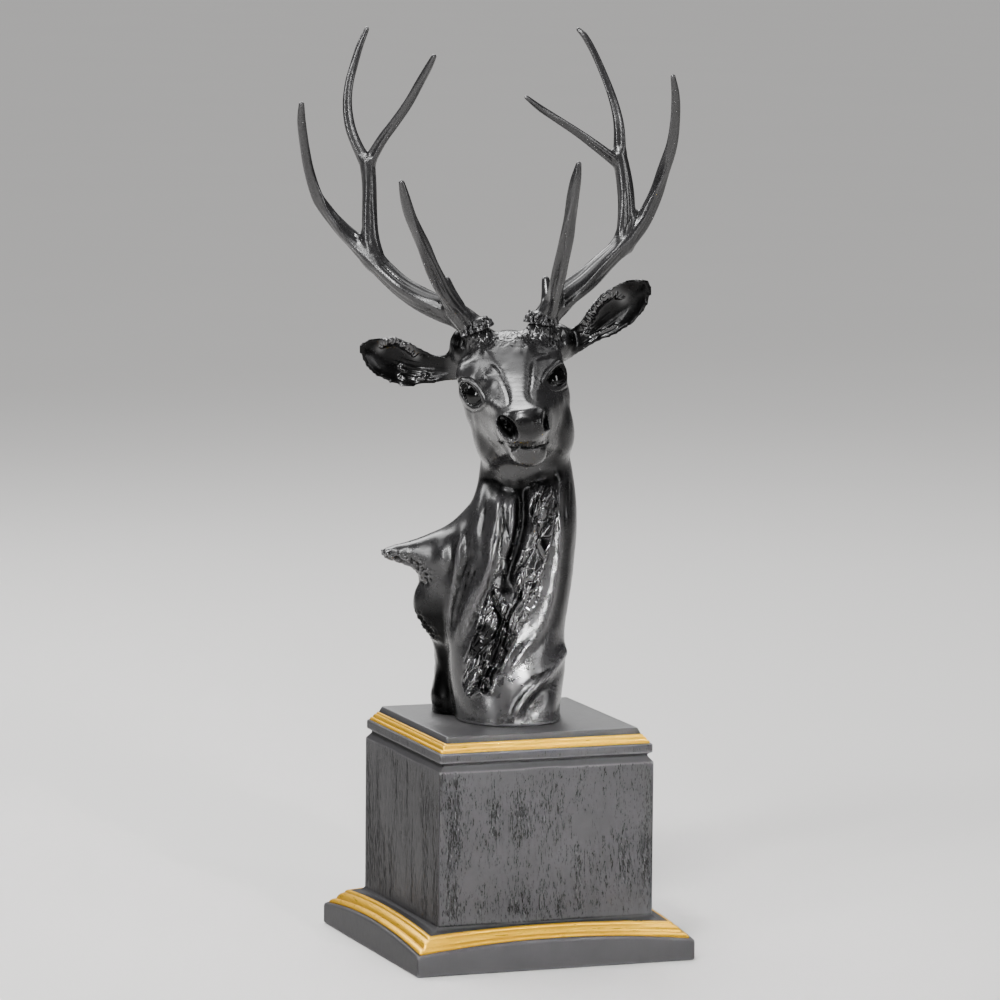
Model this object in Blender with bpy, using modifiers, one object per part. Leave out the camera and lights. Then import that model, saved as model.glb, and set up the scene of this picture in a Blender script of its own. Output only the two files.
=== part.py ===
# A stag's head and neck cast in black resin, with two antlers, on a moulded square plinth.
# Metres, +Z up, the origin at the middle of the plinth's underside, -Y the plinth's front.
# The bust looks at the front with its own turn on the plinth, so its forms are drawn in a frame
# of their own: +X the picture's right, -Y the viewer, Z up from the plinth's top.

import bpy
import bmesh
import numpy as np
from math import cos, pi, radians, sin
from mathutils import Matrix, Vector

# Plinth
FOOT_WIDTH = 0.190
FOOT_BAND_HEIGHT = 0.014
FOOT_ARCH = 0.006
FOOT_GILT_HEIGHT = 0.010
FOOT_SLOPE = 0.0135
FOOT_COVE_HEIGHT = 0.0036
BLOCK_WIDTH = 0.147
BLOCK_HEIGHT = 0.100
GROOVE_DEPTH = 0.003
GROOVE_HEIGHT = 0.006
CAP_WIDTH = 0.146
CAP_BAND_HEIGHT = 0.006
CAP_GILT_HEIGHT = 0.0055
CAP_SLOPE = 0.0060
CAP_CHAMFER_HEIGHT = 0.0039
CAP_CHAMFER = 0.0022
SOFT_EDGE = 0.0010
SIDE_STEPS = 4

# Bust and antlers
BUST_TURN = radians(-20.18)
BUST_HEIGHT = 0.2550
ANTLER_HEIGHT = 0.1950
BURR_RADIUS = 0.0117
SEAT_GAP = 0.0003
PLINTH_TOP = (FOOT_BAND_HEIGHT + FOOT_GILT_HEIGHT + FOOT_COVE_HEIGHT + BLOCK_HEIGHT + GROOVE_HEIGHT
              + CAP_BAND_HEIGHT + CAP_GILT_HEIGHT + CAP_CHAMFER_HEIGHT)

# The bust is carved in parts of its height, written as millimetres at a height of 255
BUST_UNIT = BUST_HEIGHT / 255
ANTLER_UNIT = ANTLER_HEIGHT / 195
VIEW_DISTANCE = 3889
VIEW_HEIGHT = 638
BUST_VOXEL = 1.7
ANTLER_VOXEL = 1.15
BUST_FACES = 6000
ANTLER_FACES = 1400

# Head: the point midway between the eyes, and the head's turn, nod and tilt
EYES = Vector((1.3, -8.0, 218.2))
HEAD_YAW = radians(4.5)
HEAD_NOD = radians(12.0)
HEAD_TILT = radians(13.2)


def clear_scene():
    for thing in list(bpy.data.objects):
        bpy.data.objects.remove(thing)


def material(name, colour, roughness, metallic=0.0):
    made = bpy.data.materials.new(name)
    made.use_nodes = True
    shader = made.node_tree.nodes["Principled BSDF"]
    shader.inputs["Base Color"].default_value = (*colour, 1.0)
    shader.inputs["Roughness"].default_value = roughness
    shader.inputs["Metallic"].default_value = metallic
    return made


def add_object(name, mesh, collection, *materials):
    thing = bpy.data.objects.new(name, mesh)
    collection.objects.link(thing)
    for item in materials:
        thing.data.materials.append(item)
    return thing


def through(rows, steps):
    """Rows of numbers read from one smooth curve through the given rows (Catmull-Rom)."""
    rows = np.array(rows, float)
    ends = np.vstack([2 * rows[0] - rows[1], rows, 2 * rows[-1] - rows[-2]])
    out = []
    for i in range(len(rows) - 1):
        a, b, c, d = ends[i:i + 4]
        for k in range(steps):
            t = k / steps
            out.append(0.5 * (2 * b + (c - a) * t + (2 * a - 5 * b + 4 * c - d) * t ** 2
                              + (3 * b - a - 3 * c + d) * t ** 3))
    out.append(rows[-1])
    return np.array(out).tolist()


def loft(shape, rings):
    """A closed form through rings of equal length, added to the bmesh."""
    first = bmesh.ops.create_circle(shape, cap_ends=True, segments=len(rings[0]), radius=1.0)["verts"]
    for vert, place in zip(first, rings[0]):
        vert.co = place
    loop = first
    for ring in rings[1:]:
        edges = [shape.edges.get((a, b)) for a, b in zip(loop, loop[1:] + loop[:1])]
        made = bmesh.ops.extrude_edge_only(shape, edges=edges)["geom"]
        fresh = {item for item in made if isinstance(item, bmesh.types.BMVert)}
        loop = [next(e.other_vert(v) for e in v.link_edges if e.other_vert(v) in fresh) for v in loop]
        for vert, place in zip(loop, ring):
            vert.co = place
    bmesh.ops.contextual_create(shape, geom=loop)


def oval(count, power):
    """Unit points of a superellipse, 2 is round and more is squarer."""
    for k in range(count):
        a = 2 * pi * k / count
        c, s = cos(a), sin(a)
        yield (abs(c) ** (2 / power) * (1 if c > 0 else -1),
               abs(s) ** (2 / power) * (1 if s > 0 else -1))


def head_axes():
    front = Vector((sin(HEAD_YAW) * cos(HEAD_NOD), -cos(HEAD_YAW) * cos(HEAD_NOD), -sin(HEAD_NOD)))
    level = Vector((cos(HEAD_YAW), sin(HEAD_YAW), 0))
    rise = front.cross(level)
    right = cos(HEAD_TILT) * level + sin(HEAD_TILT) * rise
    up = cos(HEAD_TILT) * rise - sin(HEAD_TILT) * level
    return right, up, front


RIGHT, UP, FRONT = head_axes()


def head_point(right, up, front):
    return EYES + float(right) * RIGHT + float(up) * UP + float(front) * FRONT


def head_loft(shape, rows, side=0.0, steps=4, count=28):
    """Rows run along the muzzle's axis: place, half width, top, widest level, bottom, pinches."""
    rings = []
    for front, wide, top, level, low, pinch_top, pinch_low in through(rows, steps):
        ring = []
        for c, s in oval(count, 2.25):
            pinch = 1 - pinch_top * max(s, 0) ** 2 - pinch_low * max(-s, 0) ** 2
            up = level + (top - level) * s if s > 0 else level + (level - low) * s
            ring.append(head_point(side + wide * c * pinch, up, front))
        rings.append(ring)
    loft(shape, rings)


def ball(shape, centre, radii, axes=None):
    """An ellipsoid at a point of the bust."""
    made = bmesh.ops.create_uvsphere(shape, u_segments=20, v_segments=12, radius=1.0)["verts"]
    turn = Matrix.Identity(3) if axes is None else Matrix(axes).transposed()
    for vert in made:
        vert.co = Vector(centre) + turn @ Vector([r * c for r, c in zip(radii, vert.co)])


def head_ball(shape, place, radii):
    ball(shape, head_point(*place), radii, (RIGHT, UP, FRONT))


def skull(shape):
    head_loft(shape, [
        (-54, 12, 8, -8, -24, 0.1, 0.1),
        (-48, 22, 19, -8, -34, 0.1, 0.1),
        (-35, 28, 27, -8, -44, 0.1, 0.2),
        (-18, 30, 29.5, -9, -50, 0.1, 0.2),
        (-3, 30, 26, -10, -52, 0.1, 0.2),
        (12, 28.5, 20.5, -12, -48, 0.25, 0.2),
        (26, 25, 16.5, -13, -42, 0.45, 0.2),
        (42, 20.5, 14, -12, -34, 0.5, 0.2),
        (58, 17.5, 12, -9, -26, 0.45, 0.15),
        (71, 17.2, 10, -4, -19, 0.25, 0.1),
        (80, 15.5, 8.2, -2, -15, 0.1, 0.2),
        (85, 10.5, 4.5, -2, -10.5, 0.1, 0.2)])


def jaw(shape):
    head_loft(shape, [
        (79.5, 6, -15.5, -22, -27, 0.1, 0.1),
        (76, 10.5, -13.5, -23, -31, 0.1, 0.1),
        (67, 12, -10, -25, -33.5, 0.0, 0.2),
        (48, 14, -12, -27, -36, 0.0, 0.3),
        (30, 18.5, -12, -31, -42, 0.0, 0.35),
        (12, 25.5, -12, -35, -52, 0.0, 0.3),
        (-4, 29, -10, -37, -60, 0.0, 0.25),
        (-18, 27, -10, -36, -60, 0.0, 0.25),
        (-30, 19, -12, -34, -50, 0.0, 0.25)])
    for side in (-1, 1):
        head_ball(shape, (side * 21.5, -31, 1), (11.8, 24, 20))
        head_ball(shape, (side * 25.2, 1, -4), (9.8, 12, 13))
        head_ball(shape, (side * 21, 9, -12), (10, 11, 12))
        head_ball(shape, (side * 10.8, -2.5, 74), (6.4, 9.5, 8.5))
    ball(shape, (-31, 22, 239), (10, 10, 14))
    ball(shape, (31, 23, 243), (9, 10, 13))


def neck(shape):
    """Level sections: height, left, right, front, back."""
    rows = [
        (-6, -33, 33, -40, 37),
        (4, -35, 33.5, -41, 38),
        (18, -38, 35, -38, 40),
        (34, -40.5, 37, -35, 41),
        (57, -41, 36, -32, 42),
        (77, -38.5, 39, -30, 43),
        (96, -35.5, 41.5, -28, 44),
        (116, -32, 43.2, -26, 44),
        (132, -28.5, 43.6, -23, 43),
        (146, -23, 42.5, -20, 42),
        (160, -20.5, 40.5, -17, 42),
        (178, -18, 36, -16, 41),
        (196, -15, 29, -12, 38),
        (206, -8, 20, -5, 30)]
    rings = []
    for z, left, right, front, back in through(rows, 3):
        middle = ((left + right) / 2, (front + back) / 2)
        half = ((right - left) / 2, (back - front) / 2)
        rings.append([Vector((middle[0] + half[0] * c, middle[1] + half[1] * s, z))
                      for c, s in oval(40, 2.15)])
    loft(shape, rings)


def upright_loft(shape, rows):
    """Upright sections across the bust: place, top, bottom, front, back."""
    rings = []
    for x, top, low, front, back in through(rows, 3):
        middle = ((front + back) / 2, (top + low) / 2)
        half = ((back - front) / 2, (top - low) / 2)
        rings.append([Vector((x, middle[0] + half[0] * c, middle[1] + half[1] * s))
                      for c, s in oval(32, 3.0)])
    loft(shape, rings)


def withers(shape):
    """The torn-off shoulder at the left: a wing, a lobe under it and a column down to the plinth."""
    upright_loft(shape, [
        (-86.3, 105.8, 103.8, 13, 17),
        (-82, 108.0, 101.6, 10.5, 19),
        (-75, 110.2, 99.4, 9, 22),
        (-68, 112.0, 97.0, 7.5, 25),
        (-61, 114.2, 93.0, 5.5, 28),
        (-56, 116.0, 82, 3.5, 31),
        (-50, 118.6, 60, 1, 34),
        (-43, 121.8, 50, -3, 38),
        (-36, 127.0, 40, -8, 41),
        (-28, 135.5, 30, -14, 43),
        (-18, 148, 20, -20, 44),
        (-5, 158, 10, -24, 44)])
    upright_loft(shape, [
        (-63.2, 77, 68, 11, 20),
        (-61, 82.5, 64, 8, 24),
        (-57, 88, 58, 5, 28),
        (-53, 92, 52, 2.5, 31),
        (-48, 98, 46, 0, 35),
        (-40, 100, 40, -5, 38),
        (-30, 100, 30, -12, 40),
        (-18, 100, 20, -18, 42)])
    inside = 4.0
    rings = []
    for z, left, depth, thick in through([
            (-6, -49, 39, 7.5),
            (4, -50, 39, 7.5),
            (10, -52.5, 38.5, 7.5),
            (17, -50, 38, 8),
            (32, -49, 36, 9),
            (44, -50, 33, 11),
            (54, -53, 29, 14),
            (63, -56, 25, 16),
            (72, -50, 24, 14)], 2):
        middle = (left + inside) / 2
        half = (inside - left) / 2
        rings.append([Vector((middle + half * c, depth + thick * s, z)) for c, s in oval(28, 3.0)])
    loft(shape, rings)


def nape(shape):
    """The crest of the neck, from behind the skull down to the withers."""
    rows = [
        (4, 24, 212, 16, 15),
        (3, 31, 192, 20, 14),
        (4, 34, 168, 22, 13),
        (2, 33, 146, 23, 12),
        (-4, 30, 126, 23, 11),
        (-8, 22, 108, 18, 9),
        (-8, 14, 96, 10, 6)]
    rings = []
    for x, y, z, wide, deep in through(rows, 3):
        rings.append([Vector((x + wide * c, y + deep * s, z)) for c, s in oval(24, 2.0)])
    loft(shape, rings)


# Antler seats: the burr's middle and the pedicle's axis, at the left and the right
SEATS = {
    "left": (Vector((-22.0, 12.0, 251.0)), Vector((-0.36, 0.03, 0.93)).normalized()),
    "right": (Vector((18.8, 12.0, 256.0)), Vector((0.12, 0.03, 0.99)).normalized())}
PEDICLE_RADIUS = 8.6


def pedicle(shape, side):
    """A short stalk that rises out of the skull to the antler's seat."""
    centre, axis = SEATS[side]
    across = axis.orthogonal().normalized()
    other = axis.cross(across)
    rings = []
    for along, radius in [(-30, 11.5), (-18, 11.0), (-9, 9.6), (-3, PEDICLE_RADIUS + 0.4), (4, PEDICLE_RADIUS + 1.5)]:
        rings.append([centre + along * axis + radius * (c * across + s * other) for c, s in oval(20, 2.0)])
    loft(shape, rings)


# Ears: along each one, the middle of the opening, its half height, and how far it is cupped
EARS = {
    "left": [
        (-24, 25, 227.5, 11.5, 7.5),
        (-36, 24, 226.5, 9.8, 7.5),
        (-50, 23, 224.8, 10.6, 8.5),
        (-65, 22, 226.6, 15.0, 10.5),
        (-79, 21, 231.2, 16.2, 10.0),
        (-90, 20, 236.0, 12.6, 7.5),
        (-97, 19, 239.5, 6.8, 4.0),
        (-100.3, 19, 241.4, 1.9, 1.4)],
    "right": [
        (26, 27, 236.0, 11.0, 7.5),
        (38, 26, 242.0, 9.2, 7.5),
        (50, 25, 250.0, 10.0, 8.5),
        (61.5, 24, 259.0, 14.2, 10.5),
        (72.5, 23, 268.4, 15.0, 10.0),
        (81, 22, 276.3, 12.0, 7.5),
        (87, 21, 282.0, 6.8, 4.0),
        (89.6, 21, 284.6, 2.0, 1.4)]}
EAR_WALL = 3.4


def ear(shape, side):
    """A cupped shell, drawn as crescent sections that run out along the ear."""
    rows = through(EARS[side], 4)
    rings = []
    for i, (x, y, z, tall, cup) in enumerate(rows):
        ahead = Vector(rows[min(i + 1, len(rows) - 1)][:3])
        behind = Vector(rows[max(i - 1, 0)][:3])
        along = (ahead - behind).normalized()
        across = Vector((0, 1, 0)).cross(along).normalized()
        back = along.cross(across) * -1 if along.cross(across).y < 0 else along.cross(across)
        middle = Vector((x, y, z))
        opening = min(1.0, max(0.0, (i / len(rows) - 0.17) / 0.12))
        outer = []
        inner = []
        for k in range(11):
            t = -1 + 2 * k / 10
            bow = (1 - t * t) ** 0.6
            outer.append(middle + tall * t * across + cup * bow * back)
            wall = min(EAR_WALL, tall * 0.9)
            reach = 1 - 0.5 * wall / tall
            depth = (cup * bow - wall * (0.45 + 0.55 * bow)) * opening - 0.55 * wall * (1 - opening)
            inner.append(middle + tall * reach * t * across + depth * back)
        rings.append(outer + inner[::-1])
    loft(shape, rings)


def as_mesh(name, shape):
    bmesh.ops.recalc_face_normals(shape, faces=shape.faces)
    mesh = bpy.data.meshes.new(name)
    shape.to_mesh(mesh)
    shape.free()
    return mesh


def evaluated(mesh, add):
    """The mesh after the modifiers that the function adds to an object made for it."""
    thing = bpy.data.objects.new(mesh.name, mesh)
    bpy.context.scene.collection.objects.link(thing)
    add(thing)
    graph = bpy.context.evaluated_depsgraph_get()
    graph.update()
    made = bpy.data.meshes.new_from_object(thing.evaluated_get(graph))
    bpy.data.objects.remove(thing)
    return made


def fused(mesh, voxel, smoothing):
    def add(thing):
        remesh = thing.modifiers.new("fuse", "REMESH")
        remesh.mode = "VOXEL"
        remesh.voxel_size = voxel
        smooth = thing.modifiers.new("soften", "SMOOTH")
        smooth.factor = 0.5
        smooth.iterations = smoothing
    return evaluated(mesh, add)


def thinned(mesh, faces):
    """Fewer faces, with the shape kept."""
    mesh.calc_loop_triangles()
    share = faces / len(mesh.loop_triangles)

    def add(thing):
        decimate = thing.modifiers.new("thin", "DECIMATE")
        decimate.ratio = share
        decimate.use_collapse_triangulate = True
    return evaluated(mesh, add)


class Surface:
    """A mesh's points as arrays, with where each shows in the front view."""

    def __init__(self, mesh):
        self.mesh = mesh
        count = len(mesh.vertices)
        self.points = np.empty(count * 3)
        mesh.vertices.foreach_get("co", self.points)
        self.points = self.points.reshape(-1, 3)
        normals = np.empty(count * 3, np.float32)
        mesh.vertex_normals.foreach_get("vector", normals)
        self.normals = normals.reshape(-1, 3).astype(float)
        nearer = VIEW_DISTANCE / (VIEW_DISTANCE + self.points[:, 1])
        self.across = self.points[:, 0] * nearer
        self.height = VIEW_HEIGHT + (self.points[:, 2] - VIEW_HEIGHT) * nearer
        self.facing = np.clip((-self.normals[:, 1] + 0.1) / 0.35, 0, 1)
        self.moves = np.zeros_like(self.points)

    def along(self, path):
        """Each point's distance from a path in the front view, its side of it and its place on it."""
        path = np.array(path, float)
        best = np.full(len(self.points), 1e9)
        side = np.zeros(len(self.points))
        place = np.zeros(len(self.points))
        lengths = np.hypot(*(path[1:] - path[:-1]).T)
        total = lengths.sum()
        run = 0.0
        for a, b, length in zip(path[:-1], path[1:], lengths):
            dx, dz = (b - a) / length
            px, pz = self.across - a[0], self.height - a[1]
            t = np.clip(px * dx + pz * dz, 0, length)
            off = np.hypot(px - t * dx, pz - t * dz)
            near = off < best
            best[near] = off[near]
            side[near] = np.sign(px * dz - pz * dx)[near]
            place[near] = ((run + t) / total)[near]
            run += length
        return best, side, place

    def stroke(self, path, rise, width, far=None, depth=(-200, 200), ends=0.18, push=None):
        """A ridge (or a groove where rise is negative) along a path drawn in the front view."""
        if len(path) > 2:
            path = through(path, 4)
        off, side, place = self.along(path)
        spread = np.where(side > 0, width, far if far else width)
        form = np.exp(-(off / spread) ** 2) * np.clip(place / ends + 0.15, 0, 1)
        form *= np.clip((1 - place) / ends + 0.15, 0, 1) * self.facing
        form *= (self.points[:, 1] > depth[0]) & (self.points[:, 1] < depth[1])
        aim = self.normals if push is None else np.array(push)
        self.moves += (rise * form)[:, None] * aim

    def swell(self, place, radii, rise, aim=None):
        """A round bulge (or a hollow) about a point in space."""
        off = (self.points - np.array(place)) / np.array(radii)
        form = np.exp(-(off ** 2).sum(axis=1))
        way = self.normals if aim is None else np.array(aim)
        self.moves += (rise * form)[:, None] * way

    def apply(self):
        self.points += self.moves
        self.mesh.vertices.foreach_set("co", self.points.ravel())
        self.mesh.update()
        return self.mesh


# The eyeballs, and where each looks, in the head's own axes
EYE_RADIUS = 8.3
EYE_PLACE = (24.3, 0.5, -1.5)
EYE_LOOK = (0.70, 0.06, 0.71)


def carve_eye(surface, side):
    """An eyeball between two thick lids, in a slightly sunken socket."""
    centre = np.array(head_point(side * EYE_PLACE[0], EYE_PLACE[1], EYE_PLACE[2]))
    look = np.array((side * EYE_LOOK[0] * RIGHT + EYE_LOOK[1] * UP + EYE_LOOK[2] * FRONT).normalized())
    up = np.array(UP) - look * np.dot(np.array(UP), look)
    up /= np.linalg.norm(up)
    across = np.cross(look, up)
    off = surface.points + surface.moves - centre
    reach = np.linalg.norm(off, axis=1)
    unit = off / reach[:, None]
    tilt = 0.35 * side
    long = unit @ across
    tall = unit @ up
    long, tall = long * cos(tilt) + tall * sin(tilt), tall * cos(tilt) - long * sin(tilt)
    spread = np.sqrt((long / 0.80) ** 2 + (tall / 0.56) ** 2)
    ahead = (unit @ look > 0.15) & (reach < 2.1 * EYE_RADIUS)
    inside = ahead & (spread < 1)
    lid = ahead & (spread >= 1) & (spread < 1.9)
    target = reach.copy()
    target[inside] = EYE_RADIUS
    bump = np.exp(-((spread[lid] - 1.18) / 0.30) ** 2)
    rim = EYE_RADIUS + 1.6 * bump
    blend = np.clip((1.9 - spread[lid]) / 0.6, 0, 1)
    target[lid] = reach[lid] * (1 - blend) + np.maximum(rim, EYE_RADIUS + 0.6) * blend
    surface.moves += (target - reach)[:, None] * unit


def carve_face(surface):
    nose = (-130, -62)
    face = (-75, 12)
    # The flat bridge of the nose between its two soft borders
    surface.stroke([(-18.5, 228), (-9.4, 225), (-3.2, 216), (-2.4, 209), (-5.6, 202)], -1.3, 2.2, depth=face)
    surface.stroke([(13.5, 233), (12.2, 222), (11.8, 210), (15.5, 205)], -1.1, 2.2, depth=face)
    surface.stroke([(-14.5, 221), (-8.4, 212), (-8.8, 204)], 1.9, 5.0, depth=face)
    surface.stroke([(17.5, 222), (17.0, 212)], 1.3, 4.5, depth=face)
    surface.stroke([(4.0, 224), (4.6, 206)], -0.8, 6.5, depth=(-95, 0))
    # Brows over the eyes and the cheekbones under them
    surface.swell(head_point(-30, 11, 4), (7, 5, 8), 2.2)
    surface.swell(head_point(30, 11, 4), (7, 5, 8), 2.2)
    surface.swell(head_point(-25, -13, 12), (8, 6, 9), 1.6)
    surface.swell(head_point(25, -13, 12), (8, 6, 9), 1.6)
    surface.swell(head_point(-17, -22, 40), (9, 12, 12), -1.8)
    surface.swell(head_point(17, -22, 40), (9, 12, 12), -1.8)
    # Nose pad: its rim, nostrils and the mouth under it
    surface.stroke([(-5.5, 200.4), (4.1, 200.0), (12.1, 201.2), (18.4, 204.0)], 1.4, 1.7, depth=nose)
    surface.stroke([(-4.8, 193.4), (-2.6, 189.6), (0.4, 186.0)], -7.0, 3.4, depth=nose, push=FRONT)
    surface.stroke([(22.0, 199.2), (23.2, 194.4), (21.4, 189.6)], -4.5, 1.9, depth=nose, push=FRONT)
    surface.stroke([(-8.0, 196), (-8.2, 190), (-4.4, 183.8)], 1.2, 1.7, depth=nose)
    surface.stroke([(26.0, 199), (26.6, 193), (23.8, 186)], 1.0, 1.6, depth=nose)
    surface.stroke([(-16, 176), (-9.4, 178.4), (-5.2, 180.6), (3.0, 177.2), (8.5, 177.4), (15.0, 178.2),
                    (21.4, 180.2), (26.6, 184.0)], -2.0, 1.4, depth=(-100, -42), ends=0.1)
    surface.stroke([(1.5, 173.5), (10, 173.8), (20, 176)], 1.6, 2.2, depth=nose)
    # Hollows of the temples between the antlers' stalks and the ears
    surface.stroke([(-39, 252), (-36.5, 243)], -4.5, 4.5, depth=(-30, 40), push=(0.3, -0.95, 0))
    surface.stroke([(36.5, 255), (37.5, 246)], -4.0, 4.2, depth=(-30, 40), push=(-0.3, -0.95, 0))


def carve_neck(surface):
    front = (-60, 44)
    # Long ropes of the mane, from under the jaw down to the left
    surface.stroke([(-8.5, 152), (-7.7, 133), (-11.1, 116), (-12.6, 99), (-17.6, 88), (-27.6, 68), (-34, 50)],
                   3.0, 3.0, 2.2, depth=front)
    surface.stroke([(-4.0, 150), (-3.6, 129), (-5.5, 112), (-7, 97), (-12, 84), (-22, 64), (-29, 46)],
                   -2.4, 2.4, depth=front)
    surface.stroke([(-18, 148), (-20, 133), (-22, 116), (-21.5, 100), (-26, 86), (-33, 66)], 1.8, 4.5, depth=front)
    surface.stroke([(-26.5, 128), (-27.5, 114), (-27, 100), (-29.5, 86), (-36, 66), (-38, 48)],
                   -2.2, 2.0, depth=front)
    surface.stroke([(-31.5, 124), (-30.8, 109), (-34.5, 92), (-38.3, 77), (-40.0, 60), (-40.6, 46)],
                   2.6, 2.2, 2.2, depth=front)
    surface.stroke([(-37.5, 118), (-37.6, 104), (-41.5, 90)], -1.8, 2.2, depth=front)
    surface.stroke([(-44.2, 113), (-43.8, 98)], 1.8, 2.4, depth=front)
    # The hollow between the mane and the torn chest
    surface.stroke([(8.8, 146), (9.8, 126), (7.4, 108), (2, 92)], -4.2, 5.0, depth=front)
    surface.stroke([(1.0, 142), (0.8, 122), (0, 106)], 1.8, 3.4, depth=front)
    # Folds of the smooth right side
    surface.stroke([(31.5, 160), (30.3, 139), (32.2, 122), (30, 96), (25.7, 75), (18, 56), (3, 35.5), (-9, 17)],
                   1.7, 1.5, 2.6, depth=front)
    surface.stroke([(35.5, 150), (35.5, 120), (34, 96), (31, 74), (25, 55), (12, 36)], -1.8, 2.0, depth=front)
    surface.stroke([(27, 54), (21.5, 40), (14.4, 29), (8, 16)], 2.4, 3.6, depth=front)
    surface.stroke([(38, 48), (35.5, 43.5), (26.1, 28.8), (18.4, 23.0), (10, 14), (5.5, 5), (3.5, -2)],
                   3.4, 1.6, 4.5, depth=front, ends=0.1)
    surface.stroke([(40, 42), (30, 28), (22, 18), (13, 6), (10, -2)], -2.4, 3.0, depth=front, ends=0.1)
    surface.swell((27, -30, 10), (8, 14, 14), 3.0)
    # The cut side at the left, sunk behind the mane's last rope
    surface.stroke([(-43, 66), (-43.5, 48), (-42.5, 24), (-40, 2)], -3.4, 3.2, depth=(-30, 30), push=(-1, 0, 0))


def carve_back(surface):
    """Broad, plain folds on the side away from the viewer."""
    points = surface.points
    behind = np.clip((surface.normals[:, 1] - 0.3) / 0.4, 0, 1) * np.clip((points[:, 2] - 4) / 20, 0, 1)
    below_head = np.clip((178 - points[:, 2]) / 25, 0, 1)
    sweep = points[:, 0] + 0.0032 * (150 - points[:, 2]) ** 2 * np.where(points[:, 2] < 150, 1, 0)
    waves = 1.5 * np.cos(sweep * 2 * pi / 15.0) + 0.7 * np.cos(sweep * 2 * pi / 8.3 + 1.0)
    surface.moves += (waves * behind * below_head)[:, None] * surface.normals


def cut_flat(mesh, point, normal):
    """Cut away what lies past a plane and close the cut."""
    shape = bmesh.new()
    shape.from_mesh(mesh)
    cut = bmesh.ops.bisect_plane(shape, geom=shape.verts[:] + shape.edges[:] + shape.faces[:], dist=1e-5,
                                 plane_co=point, plane_no=normal, clear_outer=True)
    edges = [item for item in cut["geom_cut"] if isinstance(item, bmesh.types.BMEdge)]
    bmesh.ops.holes_fill(shape, edges=edges, sides=0)
    bmesh.ops.triangulate(shape, faces=shape.faces)
    shape.to_mesh(mesh)
    shape.free()
    return mesh


def bust_mesh():
    shape = bmesh.new()
    skull(shape)
    jaw(shape)
    neck(shape)
    withers(shape)
    nape(shape)
    for side in ("left", "right"):
        pedicle(shape, side)
        ear(shape, side)
    mesh = fused(as_mesh("bust_forms", shape), BUST_VOXEL, 5)
    surface = Surface(mesh)
    carve_face(surface)
    carve_neck(surface)
    carve_back(surface)
    for side in (-1, 1):
        carve_eye(surface, side)
    return fused(surface.apply(), BUST_VOXEL, 1)


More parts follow.
